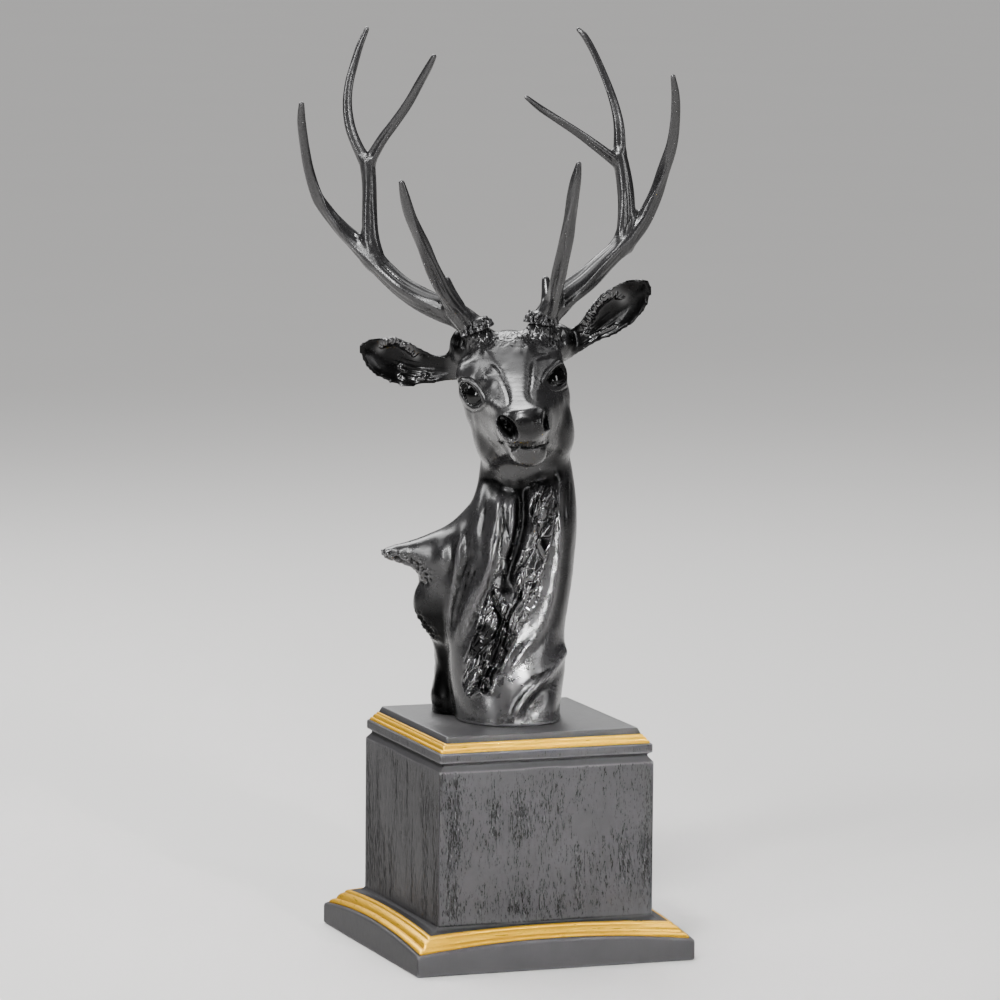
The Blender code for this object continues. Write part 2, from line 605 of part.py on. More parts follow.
# Antlers: along each branch, the middle and the radius
ANTLERS = {
    "left": {
        "beam": [(-21.5, 12, 250, 8.6), (-32.5, 13, 259.5, 9.0), (-43.6, 17, 264.5, 9.2), (-60, 24, 270.8, 9.2),
                 (-74.5, 31, 279.2, 8.3), (-91.7, 38, 294.8, 7.8), (-102.3, 41, 304.9, 6.8),
                 (-112.8, 42, 314.9, 5.8), (-125.9, 41, 332.8, 4.8), (-132.4, 37, 349.4, 4.3),
                 (-135.6, 32, 366, 3.9), (-137.7, 26, 384.5, 3.3), (-137.6, 21, 396.5, 2.2)],
        "stem": [(-90.4, 38, 295, 7.5), (-93.2, 39, 310.4, 6.4), (-94.0, 41, 326.6, 5.7),
                 (-94.1, 43, 342.7, 5.3), (-95.2, 44, 358, 5.4)],
        "outer": [(-94.8, 44, 355, 5.0), (-102.8, 46, 370.5, 4.4), (-106.8, 48, 381.4, 4.2),
                  (-108.6, 50, 394.3, 3.8), (-107.7, 52, 407.3, 3.5), (-104.6, 54, 420.2, 3.2),
                  (-100.8, 55, 433.2, 2.7), (-96.4, 56, 444, 1.9)],
        "inner": [(-94.8, 44, 356, 5.0), (-85.7, 40, 372.4, 4.2), (-77.3, 36, 384.4, 3.7),
                  (-68.8, 31, 397.2, 3.6), (-61, 25, 411.2, 3.3), (-55.2, 20, 421.9, 2.8), (-52, 16, 428.5, 2.0)],
        "brow": [(-28, 11, 254, 7.0), (-37, 4, 266.4, 7.0), (-44.8, -5, 278.9, 6.3), (-51.2, -15, 292.7, 5.8),
                 (-56.6, -24, 306.3, 5.2), (-64.3, -35, 326.4, 4.7), (-68.4, -41, 339.7, 3.9),
                 (-71.2, -44.5, 351.2, 2.3)],
        "spur": [(-36, 14, 268, 5.0), (-40, 17, 276, 4.0), (-42.5, 19, 283.5, 2.6)]},
    "right": {
        "beam": [(18.8, 12, 255, 8.6), (25.8, 13, 265.5, 9.0), (34.2, 16, 273.1, 9.2), (47.2, 24, 282.9, 9.1),
                 (60.2, 32, 295.3, 8.2), (75.1, 38, 310, 7.2), (82.9, 40, 319.7, 6.4), (88.6, 41, 330.1, 5.8),
                 (95.6, 40, 346.6, 5.2), (102, 35, 367.9, 4.7), (104.5, 28, 387.9, 4.0),
                 (104.5, 22, 404.4, 3.2), (102.6, 17, 417, 1.9)],
        "stem": [(72.5, 38, 306, 7.5), (73.7, 39, 324.9, 6.8), (72.9, 41, 341.1, 6.2), (71.1, 43, 354, 5.6),
                 (68.8, 44, 363.7, 5.3)],
        "outer": [(69.5, 44, 361, 5.2), (68.9, 46, 379.9, 4.5), (66.6, 49, 392.7, 3.8), (62.5, 52, 405.5, 3.3),
                  (57.2, 54, 418.4, 3.0), (51.2, 56, 431.3, 2.8), (45.9, 57, 440.3, 2.5), (41.8, 58, 444.6, 1.9)],
        "inner": [(68.5, 43.5, 359, 4.8), (56.3, 40, 368.4, 4.2), (43.1, 34, 378.1, 3.3), (29.9, 27, 386.9, 3.0),
                  (16.9, 20, 395.7, 2.6), (8, 14, 402.8, 1.8)],
        "brow": [(21.5, 10, 259, 6.5), (26.4, 2, 272.4, 6.2), (28.7, -9, 286.4, 5.8), (33, -22, 306.9, 5.3),
                 (35.9, -33, 327.1, 5.0), (38.2, -39, 341.7, 4.7), (40, -43, 353.6, 4.0), (41.6, -45.6, 364.2, 2.1)],
        "spur": [(23, 14, 267, 5.0), (22.5, 17, 276, 4.0), (21.6, 20, 284, 2.9)]}}


def branch(shape, rows, seat):
    """A tube that tapers through the rows, with round ends."""
    for x, y, z, radius in (rows[0], rows[-1]):
        place = seat + ANTLER_UNIT * (Vector((x, y, z)) - seat / BUST_UNIT) * 1.0
        made = bmesh.ops.create_icosphere(shape, subdivisions=2, radius=radius * ANTLER_UNIT)["verts"]
        bmesh.ops.translate(shape, verts=made, vec=place)
    curve = bpy.data.curves.new("branch", "CURVE")
    curve.dimensions = "3D"
    curve.bevel_depth = ANTLER_UNIT
    curve.bevel_resolution = 3
    curve.use_fill_caps = True
    points = through(rows, 3)
    spline = curve.splines.new("POLY")
    spline.points.add(len(points) - 1)
    for point, (x, y, z, radius) in zip(spline.points, points):
        place = seat + ANTLER_UNIT * (Vector((x, y, z)) - seat / BUST_UNIT)
        point.co = (*place, 1.0)
        point.radius = radius
    thing = bpy.data.objects.new("branch", curve)
    bpy.context.scene.collection.objects.link(thing)
    graph = bpy.context.evaluated_depsgraph_get()
    graph.update()
    mesh = bpy.data.meshes.new_from_object(thing.evaluated_get(graph))
    bpy.data.objects.remove(thing)
    shape.from_mesh(mesh)


def antler_mesh(side):
    centre, axis = SEATS[side]
    seat = centre * BUST_UNIT
    shape = bmesh.new()
    for rows in ANTLERS[side].values():
        branch(shape, rows, seat)
    # The burr is a thick collar that stands out over the stalk
    across = axis.orthogonal().normalized()
    other = axis.cross(across)
    rings = []
    for along, radius in [(-0.0040, 0.60), (-0.0004, 0.93), (0.0016, 1.0), (0.0046, 0.93), (0.0080, 0.68)]:
        rings.append([seat + along * axis + BURR_RADIUS * radius * (c * across + s * other)
                      for c, s in oval(24, 2.0)])
    loft(shape, rings)
    bmesh.ops.remove_doubles(shape, verts=shape.verts, dist=1e-6)
    mesh = fused(as_mesh("antler_forms", shape), ANTLER_VOXEL * ANTLER_UNIT, 2)
    mesh = thinned(mesh, ANTLER_FACES)
    return cut_flat(mesh, seat, -axis)


def seat_cutter(side, collection):
    """What makes room on the stalk for the antler, with a gap under its burr."""
    centre, axis = SEATS[side]
    shape = bmesh.new()
    made = bmesh.ops.create_cone(shape, cap_ends=True, segments=24, radius1=BURR_RADIUS * 1.35,
                                 radius2=BURR_RADIUS * 1.35, depth=0.03)["verts"]
    turn = axis.to_track_quat("Z", "Y").to_matrix().to_4x4()
    shift = Matrix.Translation(centre * BUST_UNIT + axis * (0.015 - SEAT_GAP))
    bmesh.ops.transform(shape, matrix=shift @ turn, verts=made)
    cutter = add_object("seat_" + side, as_mesh("seat_" + side, shape), collection)
    cutter.hide_render = True
    cutter.display_type = "WIRE"
    return cutter


def plinth_rings():
    """Half width, height, rise at the middle of each side, and whether gilt starts there."""
    foot = FOOT_WIDTH / 2
    block = BLOCK_WIDTH / 2
    cap = CAP_WIDTH / 2
    gilt_low = FOOT_BAND_HEIGHT + 0.1 * FOOT_GILT_HEIGHT
    gilt_high = FOOT_BAND_HEIGHT + FOOT_GILT_HEIGHT
    block_low = gilt_high + FOOT_COVE_HEIGHT
    block_high = block_low + BLOCK_HEIGHT
    cap_low = block_high + GROOVE_HEIGHT
    cap_band = cap_low + CAP_BAND_HEIGHT
    cap_gilt = cap_band + CAP_GILT_HEIGHT
    arch = FOOT_ARCH
    rows = [
        (foot - SOFT_EDGE, 0, 0, "black"),
        (foot, 1.5 * SOFT_EDGE, 0, "black"),
        (foot, FOOT_BAND_HEIGHT - 1.5 * SOFT_EDGE, arch, "black"),
        (foot - SOFT_EDGE, FOOT_BAND_HEIGHT, arch, "black"),
        (foot - 2.6 * SOFT_EDGE, gilt_low, arch, "gilt"),
        (foot - 0.30 * FOOT_SLOPE, gilt_low + 0.28 * FOOT_GILT_HEIGHT, 0.9 * arch, "gilt"),
        (foot - 0.55 * FOOT_SLOPE, gilt_low + 0.38 * FOOT_GILT_HEIGHT, 0.8 * arch, "gilt"),
        (foot - 0.62 * FOOT_SLOPE, gilt_low + 0.66 * FOOT_GILT_HEIGHT, 0.7 * arch, "gilt"),
        (foot - 0.82 * FOOT_SLOPE, gilt_low + 0.86 * FOOT_GILT_HEIGHT, 0.6 * arch, "gilt"),
        (foot - FOOT_SLOPE, gilt_high, 0.5 * arch, "black"),
        (block + 0.45 * (foot - FOOT_SLOPE - block), gilt_high + 0.12 * FOOT_COVE_HEIGHT, 0.25 * arch, "black"),
        (block + 0.08 * (foot - FOOT_SLOPE - block), gilt_high + 0.55 * FOOT_COVE_HEIGHT, 0, "black"),
        (block, block_low, 0, "black"),
        (block, block_high - SOFT_EDGE, 0, "black"),
        (block - SOFT_EDGE, block_high, 0, "black"),
        (block - GROOVE_DEPTH, block_high + 0.30 * GROOVE_HEIGHT, 0, "black"),
        (block - GROOVE_DEPTH, block_high + 0.60 * GROOVE_HEIGHT, 0, "black"),
        (cap - 0.4 * SOFT_EDGE, cap_low, 0, "black"),
        (cap, cap_low + SOFT_EDGE, 0, "black"),
        (cap, cap_band - 0.8 * SOFT_EDGE, 0, "black"),
        (cap - 1.2 * SOFT_EDGE, cap_band, 0, "gilt"),
        (cap - 0.45 * CAP_SLOPE, cap_band + 0.35 * CAP_GILT_HEIGHT, 0, "gilt"),
        (cap - 0.62 * CAP_SLOPE, cap_band + 0.80 * CAP_GILT_HEIGHT, 0, "gilt"),
        (cap - CAP_SLOPE, cap_gilt, 0, "black"),
        (cap - CAP_SLOPE - 0.7 * CAP_CHAMFER, cap_gilt + 0.8 * CAP_CHAMFER_HEIGHT, 0, "black"),
        (cap - CAP_SLOPE - CAP_CHAMFER, cap_gilt + CAP_CHAMFER_HEIGHT, 0, "black")]
    return rows


def square_ring(half, height, arch):
    ring = []
    for quarter in range(4):
        for k in range(SIDE_STEPS):
            t = -1 + 2 * k / SIDE_STEPS
            x, y = half * t, -half
            for _ in range(quarter):
                x, y = -y, x
            ring.append(Vector((x, y, height + arch * (1 - t * t))))
    return ring


def build_plinth(collection, black, gilt):
    rows = plinth_rings()
    shape = bmesh.new()
    loft(shape, [square_ring(half, height, arch) for half, height, arch, _ in rows])
    bmesh.ops.recalc_face_normals(shape, faces=shape.faces)
    shape.faces.index_update()
    around = 4 * SIDE_STEPS
    for face in shape.faces:
        ring = (face.index - 1) // around
        gilded = 0 <= ring < len(rows) - 1 and rows[ring][3] == "gilt"
        face.material_index = 1 if gilded else 0
    mesh = bpy.data.meshes.new("plinth")
    shape.to_mesh(mesh)
    shape.free()
    return add_object("plinth", mesh, collection, black, gilt)


def build_bust(collection, cutters, black):
    mesh = cut_flat(thinned(bust_mesh(), BUST_FACES), (0, 0, 0), (0, 0, -1))
    mesh.transform(Matrix.Scale(BUST_UNIT, 4))
    bust = add_object("bust", mesh, collection, black)
    for side in ("left", "right"):
        cut = bust.modifiers.new("seat_" + side, "BOOLEAN")
        cut.object = seat_cutter(side, cutters)
    return bust


def build_antlers(collection, black):
    return [add_object("antler_" + side, antler_mesh(side), collection, black) for side in ("left", "right")]


def main():
    clear_scene()
    whole = bpy.data.collections.new("deer_bust")
    cutters = bpy.data.collections.new("cutters")
    for group in (whole, cutters):
        bpy.context.scene.collection.children.link(group)
    black = material("black_resin", (0.020, 0.020, 0.022), 0.32)
    gilt = material("gilt_paint", (0.62, 0.36, 0.07), 0.38, 0.6)
    stand = bpy.data.objects.new("bust_place", None)
    whole.objects.link(stand)
    stand.location = (0, 0, PLINTH_TOP + SEAT_GAP)
    stand.rotation_euler = (0, 0, BUST_TURN)
    build_plinth(whole, black, gilt)
    build_bust(whole, cutters, black).parent = stand
    for antler in build_antlers(whole, black):
        antler.parent = stand
    for cutter in cutters.objects:
        cutter.parent = stand


main()
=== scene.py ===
"""A stag's bust in black resin on a moulded plinth with gilded rims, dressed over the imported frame.

The bust and its antlers are drawn in a frame of their own, in millimetres: +X the picture's right,
-Y the viewer, Z up from the plinth's top. The last step of each piece turns it onto the plinth.
"""

from math import cos, pi, radians, sin

import bmesh
import bpy
import numpy as np
from bpy.props import FloatProperty, FloatVectorProperty, IntProperty, PointerProperty
from mathutils import Matrix, Vector


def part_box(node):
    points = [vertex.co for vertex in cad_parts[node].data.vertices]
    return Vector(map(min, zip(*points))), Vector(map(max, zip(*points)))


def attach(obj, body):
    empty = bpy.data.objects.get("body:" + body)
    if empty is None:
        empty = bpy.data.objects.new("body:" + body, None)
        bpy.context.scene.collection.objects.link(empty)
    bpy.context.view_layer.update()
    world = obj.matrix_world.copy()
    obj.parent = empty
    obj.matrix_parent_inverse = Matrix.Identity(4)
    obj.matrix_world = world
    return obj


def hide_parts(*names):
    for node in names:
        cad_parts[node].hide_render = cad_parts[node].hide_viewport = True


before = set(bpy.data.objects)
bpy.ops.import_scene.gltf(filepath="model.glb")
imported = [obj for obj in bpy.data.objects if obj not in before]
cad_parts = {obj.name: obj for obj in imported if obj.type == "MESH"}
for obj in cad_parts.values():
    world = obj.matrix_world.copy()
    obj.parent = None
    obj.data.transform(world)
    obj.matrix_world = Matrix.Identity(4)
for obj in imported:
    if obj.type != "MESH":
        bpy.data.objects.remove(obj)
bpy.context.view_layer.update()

PLINTH_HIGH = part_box("plinth")[1]

bl_info = {
    "name": "Stag bust on a gilded plinth",
    "version": (1, 0, 0),
    "blender": (4, 5, 0),
    "location": "3D View > Sidebar > Stag bust",
    "description": "Models the resin bust, its antlers and its plinth piece by piece, with their finishes",
    "category": "Object",
}

# Where things stand, in metres
BUST_TURN = radians(-20.18)
BUST_UNIT = 0.001
SEAT_GAP = 0.0003

# The bust's own millimetres
VIEW_DISTANCE = 3889
VIEW_HEIGHT = 638
BURR_RADIUS = 11.7
EYES = Vector((1.3, -8.0, 218.2))
HEAD_YAW = radians(4.5)
HEAD_NOD = radians(12.0)
HEAD_TILT = radians(13.2)
# The stretch from front to back in which each part lies, so that a stroke stays on its part
NOSE_DEPTH = (-130, -62)
MOUTH_DEPTH = (-110, -40)
FACE_DEPTH = (-75, 12)
EYE_DEPTH = (-60, 24)
TEAR_DEPTH = (-70, 44)
CHEST_DEPTH = (-60, 44)
EAR_DEPTH = (0, 60)


class StagPlinthSettings(bpy.types.PropertyGroup):
    side_steps: IntProperty(name="Side steps", description="Mesh steps along each side of the plinth",
                            default=160, min=16, max=200)
    grain_depth: FloatProperty(name="Grain depth", description="How deep the pits of the wood grain go",
                               default=0.0004, min=0.0, max=0.002, unit="LENGTH")
    corner_radius: FloatProperty(name="Corner radius", description="Roundness of the upright corners",
                                 default=0.0012, min=0.0003, max=0.003, unit="LENGTH")
    tone: FloatVectorProperty(name="Resin", description="Colour of the plinth's resin", subtype="COLOR",
                              size=3, min=0, max=1, default=(0.027, 0.0263, 0.0277))
    gilt: FloatVectorProperty(name="Gilding", description="Colour of the gilded rims", subtype="COLOR",
                              size=3, min=0, max=1, default=(1.0, 0.55, 0.02))


class StagBustSettings(bpy.types.PropertyGroup):
    grain: FloatProperty(name="Mesh grain", description="Size of the bust's cells before its fine parts",
                         default=0.0022, min=0.0012, max=0.004, unit="LENGTH")
    torn_depth: FloatProperty(name="Torn depth", description="Relief of the torn chest",
                              default=0.0030, min=0.0, max=0.005, unit="LENGTH")
    curl_height: FloatProperty(name="Curl height", description="Relief of the hair between the antlers",
                               default=0.0005, min=0.0, max=0.002, unit="LENGTH")
    waviness: FloatProperty(name="Waviness", description="Slow unevenness of the cast surface",
                            default=0.00022, min=0.0, max=0.001, unit="LENGTH")
    tone: FloatVectorProperty(name="Resin", description="Colour of the bust's resin", subtype="COLOR",
                              size=3, min=0, max=1, default=(0.011, 0.0107, 0.0113))


class StagAntlerSettings(bpy.types.PropertyGroup):
    grain: FloatProperty(name="Mesh grain", description="Size of the antlers' mesh cells",
                         default=0.00075, min=0.0005, max=0.003, unit="LENGTH")
    ridge_height: FloatProperty(name="Ridge height", description="Height of the long ridges on the branches",
                                default=0.0013, min=0.0, max=0.002, unit="LENGTH")
    bead_size: FloatProperty(name="Bead size", description="Radius of the beads round the burrs",
                             default=0.0019, min=0.0005, max=0.003, unit="LENGTH")
    tone: FloatVectorProperty(name="Resin", description="Colour of the antlers' resin", subtype="COLOR",
                              size=3, min=0, max=1, default=(0.015, 0.0146, 0.0155))


class StagStageSettings(bpy.types.PropertyGroup):
    floor_radius: FloatProperty(name="Floor radius", description="Radius of the round floor",
                                default=30.0, min=1.0, unit="LENGTH")
    floor_tone: FloatVectorProperty(name="Floor", description="Colour of the floor", subtype="COLOR",
                                    size=3, min=0, max=1, default=(0.62, 0.61, 0.60))
    sky_strength: FloatProperty(name="Sky", description="Strength of the even light from overhead",
                                default=2.4, min=0.0)
    key_power: FloatProperty(name="Key light", description="Power of the soft light high in front",
                             default=70.0, min=0.0, unit="POWER")
    left_power: FloatProperty(name="Left light", description="Power of the tall soft light at the left",
                              default=42.0, min=0.0, unit="POWER")
    right_power: FloatProperty(name="Right light", description="Power of the tall soft light at the right",
                               default=25.0, min=0.0, unit="POWER")
    back_power: FloatProperty(name="Back light", description="Power of the wide soft light high behind",
                              default=60.0, min=0.0, unit="POWER")
    low_power: FloatProperty(name="Low light", description="Power of the narrow beam on the plinth's front",
                             default=1.4, min=0.0, unit="POWER")
    lens: FloatProperty(name="Lens", description="Focal length in millimetres", default=217.34, min=10.0)


def through(rows, steps):
    """Rows of numbers read from one smooth curve through the given rows (Catmull-Rom)."""
    rows = np.array(rows, float)
    ends = np.vstack([2 * rows[0] - rows[1], rows, 2 * rows[-1] - rows[-2]])
    out = []
    for i in range(len(rows) - 1):
        a, b, c, d = ends[i:i + 4]
        for k in range(steps):
            t = k / steps
            out.append(0.5 * (2 * b + (c - a) * t + (2 * a - 5 * b + 4 * c - d) * t ** 2
                              + (3 * b - a - 3 * c + d) * t ** 3))
    out.append(rows[-1])
    return np.array(out).tolist()


def loft(shape, rings):
    """A closed form through rings of equal length, added to the bmesh; its loops of vertices."""
    first = bmesh.ops.create_circle(shape, cap_ends=True, segments=len(rings[0]), radius=1.0)["verts"]
    for vert, place in zip(first, rings[0]):
        vert.co = place
    loops = [first]
    for ring in rings[1:]:
        loop = loops[-1]
        edges = [shape.edges.get((a, b)) for a, b in zip(loop, loop[1:] + loop[:1])]
        made = bmesh.ops.extrude_edge_only(shape, edges=edges)["geom"]
        fresh = {item for item in made if isinstance(item, bmesh.types.BMVert)}
        loop = [next(e.other_vert(v) for e in v.link_edges if e.other_vert(v) in fresh) for v in loop]
        for vert, place in zip(loop, ring):
            vert.co = place
        loops.append(loop)
    bmesh.ops.contextual_create(shape, geom=loops[-1])
    return loops


def oval(count, power):
    """Unit points of a superellipse, 2 is round and more is squarer."""
    for k in range(count):
        a = 2 * pi * k / count
        c, s = cos(a), sin(a)
        yield (abs(c) ** (2 / power) * (1 if c > 0 else -1),
               abs(s) ** (2 / power) * (1 if s > 0 else -1))


def head_axes():
    """The head's own right, up and front, turned, nodded and tilted."""
    front = Vector((sin(HEAD_YAW) * cos(HEAD_NOD), -cos(HEAD_YAW) * cos(HEAD_NOD), -sin(HEAD_NOD)))
    level = Vector((cos(HEAD_YAW), sin(HEAD_YAW), 0))
    rise = front.cross(level)
    right = cos(HEAD_TILT) * level + sin(HEAD_TILT) * rise
    up = cos(HEAD_TILT) * rise - sin(HEAD_TILT) * level
    return right, up, front


RIGHT, UP, FRONT = head_axes()


def head_point(right, up, front):
    """A point given along the head's own axes, from midway between the eyes."""
    return EYES + float(right) * RIGHT + float(up) * UP + float(front) * FRONT


def head_loft(shape, rows, side=0.0, steps=4, count=28):
    """Rows run along the muzzle's axis: place, half width, top, widest level, bottom, pinches."""
    rings = []
    for front, wide, top, level, low, pinch_top, pinch_low in through(rows, steps):
        ring = []
        for c, s in oval(count, 2.25):
            pinch = 1 - pinch_top * max(s, 0) ** 2 - pinch_low * max(-s, 0) ** 2
            up = level + (top - level) * s if s > 0 else level + (level - low) * s
            ring.append(head_point(side + wide * c * pinch, up, front))
        rings.append(ring)
    loft(shape, rings)


def ball(shape, centre, radii, axes=None):
    """An ellipsoid at a point of the bust."""
    made = bmesh.ops.create_uvsphere(shape, u_segments=20, v_segments=12, radius=1.0)["verts"]
    turn = Matrix.Identity(3) if axes is None else Matrix(axes).transposed()
    for vert in made:
        vert.co = Vector(centre) + turn @ Vector([r * c for r, c in zip(radii, vert.co)])


def head_ball(shape, place, radii):
    ball(shape, head_point(*place), radii, (RIGHT, UP, FRONT))


def skull(shape):
    head_loft(shape, [
        (-54, 12, 8, -8, -24, 0.1, 0.1),
        (-48, 22, 19, -8, -34, 0.1, 0.1),
        (-35, 28, 27, -8, -44, 0.1, 0.2),
        (-18, 30, 29.5, -9, -50, 0.1, 0.2),
        (-3, 30, 26, -10, -52, 0.1, 0.2),
        (12, 29, 20.5, -12, -48, 0.15, 0.2),
        (26, 25.5, 16.5, -13, -42, 0.2, 0.2),
        (42, 20.5, 14, -12, -34, 0.22, 0.2),
        (58, 17.5, 12, -9, -26, 0.2, 0.15),
        (71, 17.2, 10, -4, -19, 0.12, 0.1),
        (80, 15.5, 8.2, -2, -15, 0.1, 0.2),
        (85, 10.5, 4.5, -2, -10.5, 0.1, 0.2)])


def jaw(shape):
    head_loft(shape, [
        (79.5, 6, -15.5, -22, -27, 0.1, 0.1),
        (76, 10.5, -13.5, -23, -31, 0.1, 0.1),
        (67, 12, -10, -25, -33.5, 0.0, 0.2),
        (48, 14, -12, -27, -36, 0.0, 0.3),
        (30, 18.5, -12, -31, -42, 0.0, 0.35),
        (12, 25.5, -12, -35, -52, 0.0, 0.3),
        (-4, 29, -10, -37, -60, 0.0, 0.25),
        (-18, 27, -10, -36, -60, 0.0, 0.25),
        (-30, 19, -12, -34, -50, 0.0, 0.25)])
    for side in (-1, 1):
        head_ball(shape, (side * 21.5, -31, 1), (11.8, 24, 20))
        head_ball(shape, (side * 20.0, -38, -2), (11, 21.5, 16))
        head_ball(shape, (side * 25.6, 9, -14), (10.2, 10, 13))
        head_ball(shape, (side * 25.8, -1, -6), (10.6, 11, 14.5))
        head_ball(shape, (side * 24.8, -14, -6), (10.3, 17, 17))
        head_ball(shape, (side * 21, 9, -12), (10, 11, 12))
        head_ball(shape, (side * 10.8, -2.5, 74), (6.4, 9.5, 8.5))
    ball(shape, (-31, 22, 239), (10, 10, 14))
    ball(shape, (31, 23, 243), (9, 10, 13))


def neck(shape):
    """Level sections: height, left, right, front, back."""
    rows = [
        (-6, -33, 33, -40, 37),
        (4, -35, 33.5, -41, 38),
        (18, -38, 35, -38, 40),
        (34, -40.5, 37, -35, 41),
        (57, -41, 36, -32, 42),
        (77, -38.5, 39, -30, 43),
        (96, -35.5, 41.5, -28, 44),
        (116, -32, 43.2, -26, 44),
        (132, -28.5, 43.6, -23, 43),
        (146, -23, 42.5, -20, 42),
        (160, -20.5, 40.5, -17, 42),
        (178, -18, 36, -16, 41),
        (196, -15, 29, -12, 38),
        (206, -8, 20, -5, 30)]
    rings = []
    for z, left, right, front, back in through(rows, 3):
        middle = ((left + right) / 2, (front + back) / 2)
        half = ((right - left) / 2, (back - front) / 2)
        rings.append([Vector((middle[0] + half[0] * c, middle[1] + half[1] * s, z))
                      for c, s in oval(40, 2.15)])
    loft(shape, rings)


def upright_loft(shape, rows):
    """Upright sections across the bust: place, top, bottom, front, back."""
    rings = []
    for x, top, low, front, back in through(rows, 3):
        middle = ((front + back) / 2, (top + low) / 2)
        half = ((back - front) / 2, (top - low) / 2)
        rings.append([Vector((x, middle[0] + half[0] * c, middle[1] + half[1] * s))
                      for c, s in oval(32, 3.0)])
    loft(shape, rings)


def withers(shape):
    """The torn-off shoulder at the left: a wing, a lobe under it and a column down to the plinth."""
    upright_loft(shape, [
        (-86.3, 105.8, 103.8, 13, 17),
        (-82, 108.0, 101.6, 10.5, 19),
        (-75, 110.2, 99.4, 9, 22),
        (-68, 112.0, 97.0, 7.5, 25),
        (-61, 114.2, 93.0, 5.5, 28),
        (-56, 116.0, 82, 3.5, 31),
        (-50, 118.6, 60, 1, 34),
        (-43, 121.8, 50, -3, 38),
        (-36, 127.0, 40, -8, 41),
        (-28, 135.5, 30, -14, 43),
        (-18, 148, 20, -20, 44),
        (-5, 158, 10, -24, 44)])
    upright_loft(shape, [
        (-63.2, 77, 68, 11, 20),
        (-61, 82.5, 64, 8, 24),
        (-57, 88, 58, 5, 28),
        (-53, 92, 52, 2.5, 31),
        (-48, 98, 46, 0, 35),
        (-40, 100, 40, -5, 38),
        (-30, 100, 30, -12, 40),
        (-18, 100, 20, -18, 42)])
    inner_edge = 4.0
    rings = []
    for z, left, depth, thick in through([
            (-6, -49, 24, 22),
            (4, -50, 24, 22),
            (10, -52.5, 24, 22),
            (17, -50, 24, 21),
            (32, -49, 24, 20),
            (44, -50, 24, 18),
            (54, -53, 25, 17),
            (63, -56, 25, 16),
            (72, -50, 24, 14)], 2):
        middle = (left + inner_edge) / 2
        half = (inner_edge - left) / 2
        rings.append([Vector((middle + half * c, depth + thick * s, z)) for c, s in oval(28, 3.0)])
    loft(shape, rings)


def nape(shape):
    """The crest of the neck, from behind the skull down to the withers."""
    rows = [
        (4, 24, 212, 16, 15),
        (3, 31, 192, 20, 14),
        (4, 34, 168, 22, 13),
        (2, 33, 146, 23, 12),
        (-4, 30, 126, 23, 11),
        (-8, 22, 108, 18, 9),
        (-8, 14, 96, 10, 6)]
    rings = []
    for x, y, z, wide, deep in through(rows, 3):
        rings.append([Vector((x + wide * c, y + deep * s, z)) for c, s in oval(24, 2.0)])
    loft(shape, rings)


# Antler seats: the burr's middle and the pedicle's axis, at the left and the right
SEATS = {
    "left": (Vector((-22.0, 12.0, 251.0)), Vector((-0.36, 0.03, 0.93)).normalized()),
    "right": (Vector((18.8, 12.0, 256.0)), Vector((0.12, 0.03, 0.99)).normalized())}


def pedicle(shape, side):
    """A short stalk that rises out of the skull to the antler's seat."""
    centre, axis = SEATS[side]
    across = axis.orthogonal().normalized()
    other = axis.cross(across)
    rings = []
    for along, radius in [(-30, 11.5), (-18, 11.0), (-9, 9.6), (-3, 9.0), (0.8, 8.8)]:
        rings.append([centre + along * axis + radius * (c * across + s * other) for c, s in oval(20, 2.0)])
    loft(shape, rings)


# Ears: along each one, the middle of the opening, its half height, and how far it is cupped
EARS = {
    "left": [
        (-24, 25, 227.5, 11.5, 7.5),
        (-36, 24, 226.5, 9.8, 7.5),
        (-50, 23, 224.8, 10.6, 8.5),
        (-65, 22, 226.6, 15.0, 10.5),
        (-79, 21, 231.2, 16.2, 10.0),
        (-90, 20, 236.0, 12.6, 7.5),
        (-97, 19, 239.5, 6.8, 4.0),
        (-100.3, 19, 241.4, 1.9, 1.4)],
    "right": [
        (26, 27, 236.0, 11.0, 7.5),
        (38, 26, 242.0, 9.2, 7.5),
        (50, 25, 250.0, 10.0, 8.5),
        (61.5, 24, 259.0, 14.2, 10.5),
        (72.5, 23, 268.4, 15.0, 10.0),
        (81, 22, 276.3, 12.0, 7.5),
        (87, 21, 282.0, 6.8, 4.0),
        (89.6, 21, 284.6, 2.0, 1.4)]}
EAR_WALL = 3.4
EAR_STEPS = 10


def ear(shape, side):
    """A cupped shell, drawn as crescent sections that run out along the ear."""
    rows = through(EARS[side], 4)
    rings = []
    for i, (x, y, z, tall, cup) in enumerate(rows):
        ahead = Vector(rows[min(i + 1, len(rows) - 1)][:3])
        behind = Vector(rows[max(i - 1, 0)][:3])
        along = (ahead - behind).normalized()
        across = Vector((0, 1, 0)).cross(along).normalized()
        back = along.cross(across)
        if back.y < 0:
            back = -back
        middle = Vector((x, y, z))
        opening = min(1.0, max(0.0, (i / len(rows) - 0.17) / 0.12))
        wall = min(EAR_WALL, tall * 0.9)
        reach = 1 - 0.5 * wall / tall
        outer = []
        inner = []
        for k in range(EAR_STEPS + 1):
            t = -1 + 2 * k / EAR_STEPS
            bow = (1 - t * t) ** 0.6
            outer.append(middle + tall * t * across + cup * bow * back)
            depth = (cup * bow - wall * (0.45 + 0.55 * bow)) * opening - 0.55 * wall * (1 - opening)
            inner.append(middle + tall * reach * t * across + depth * back)
        rings.append(outer + inner[::-1])
    loft(shape, rings)


def as_mesh(name, shape):
    """A new mesh from the bmesh, which it uses up."""
    bmesh.ops.recalc_face_normals(shape, faces=shape.faces)
    mesh = bpy.data.meshes.new(name)
    shape.to_mesh(mesh)
    shape.free()
    return mesh


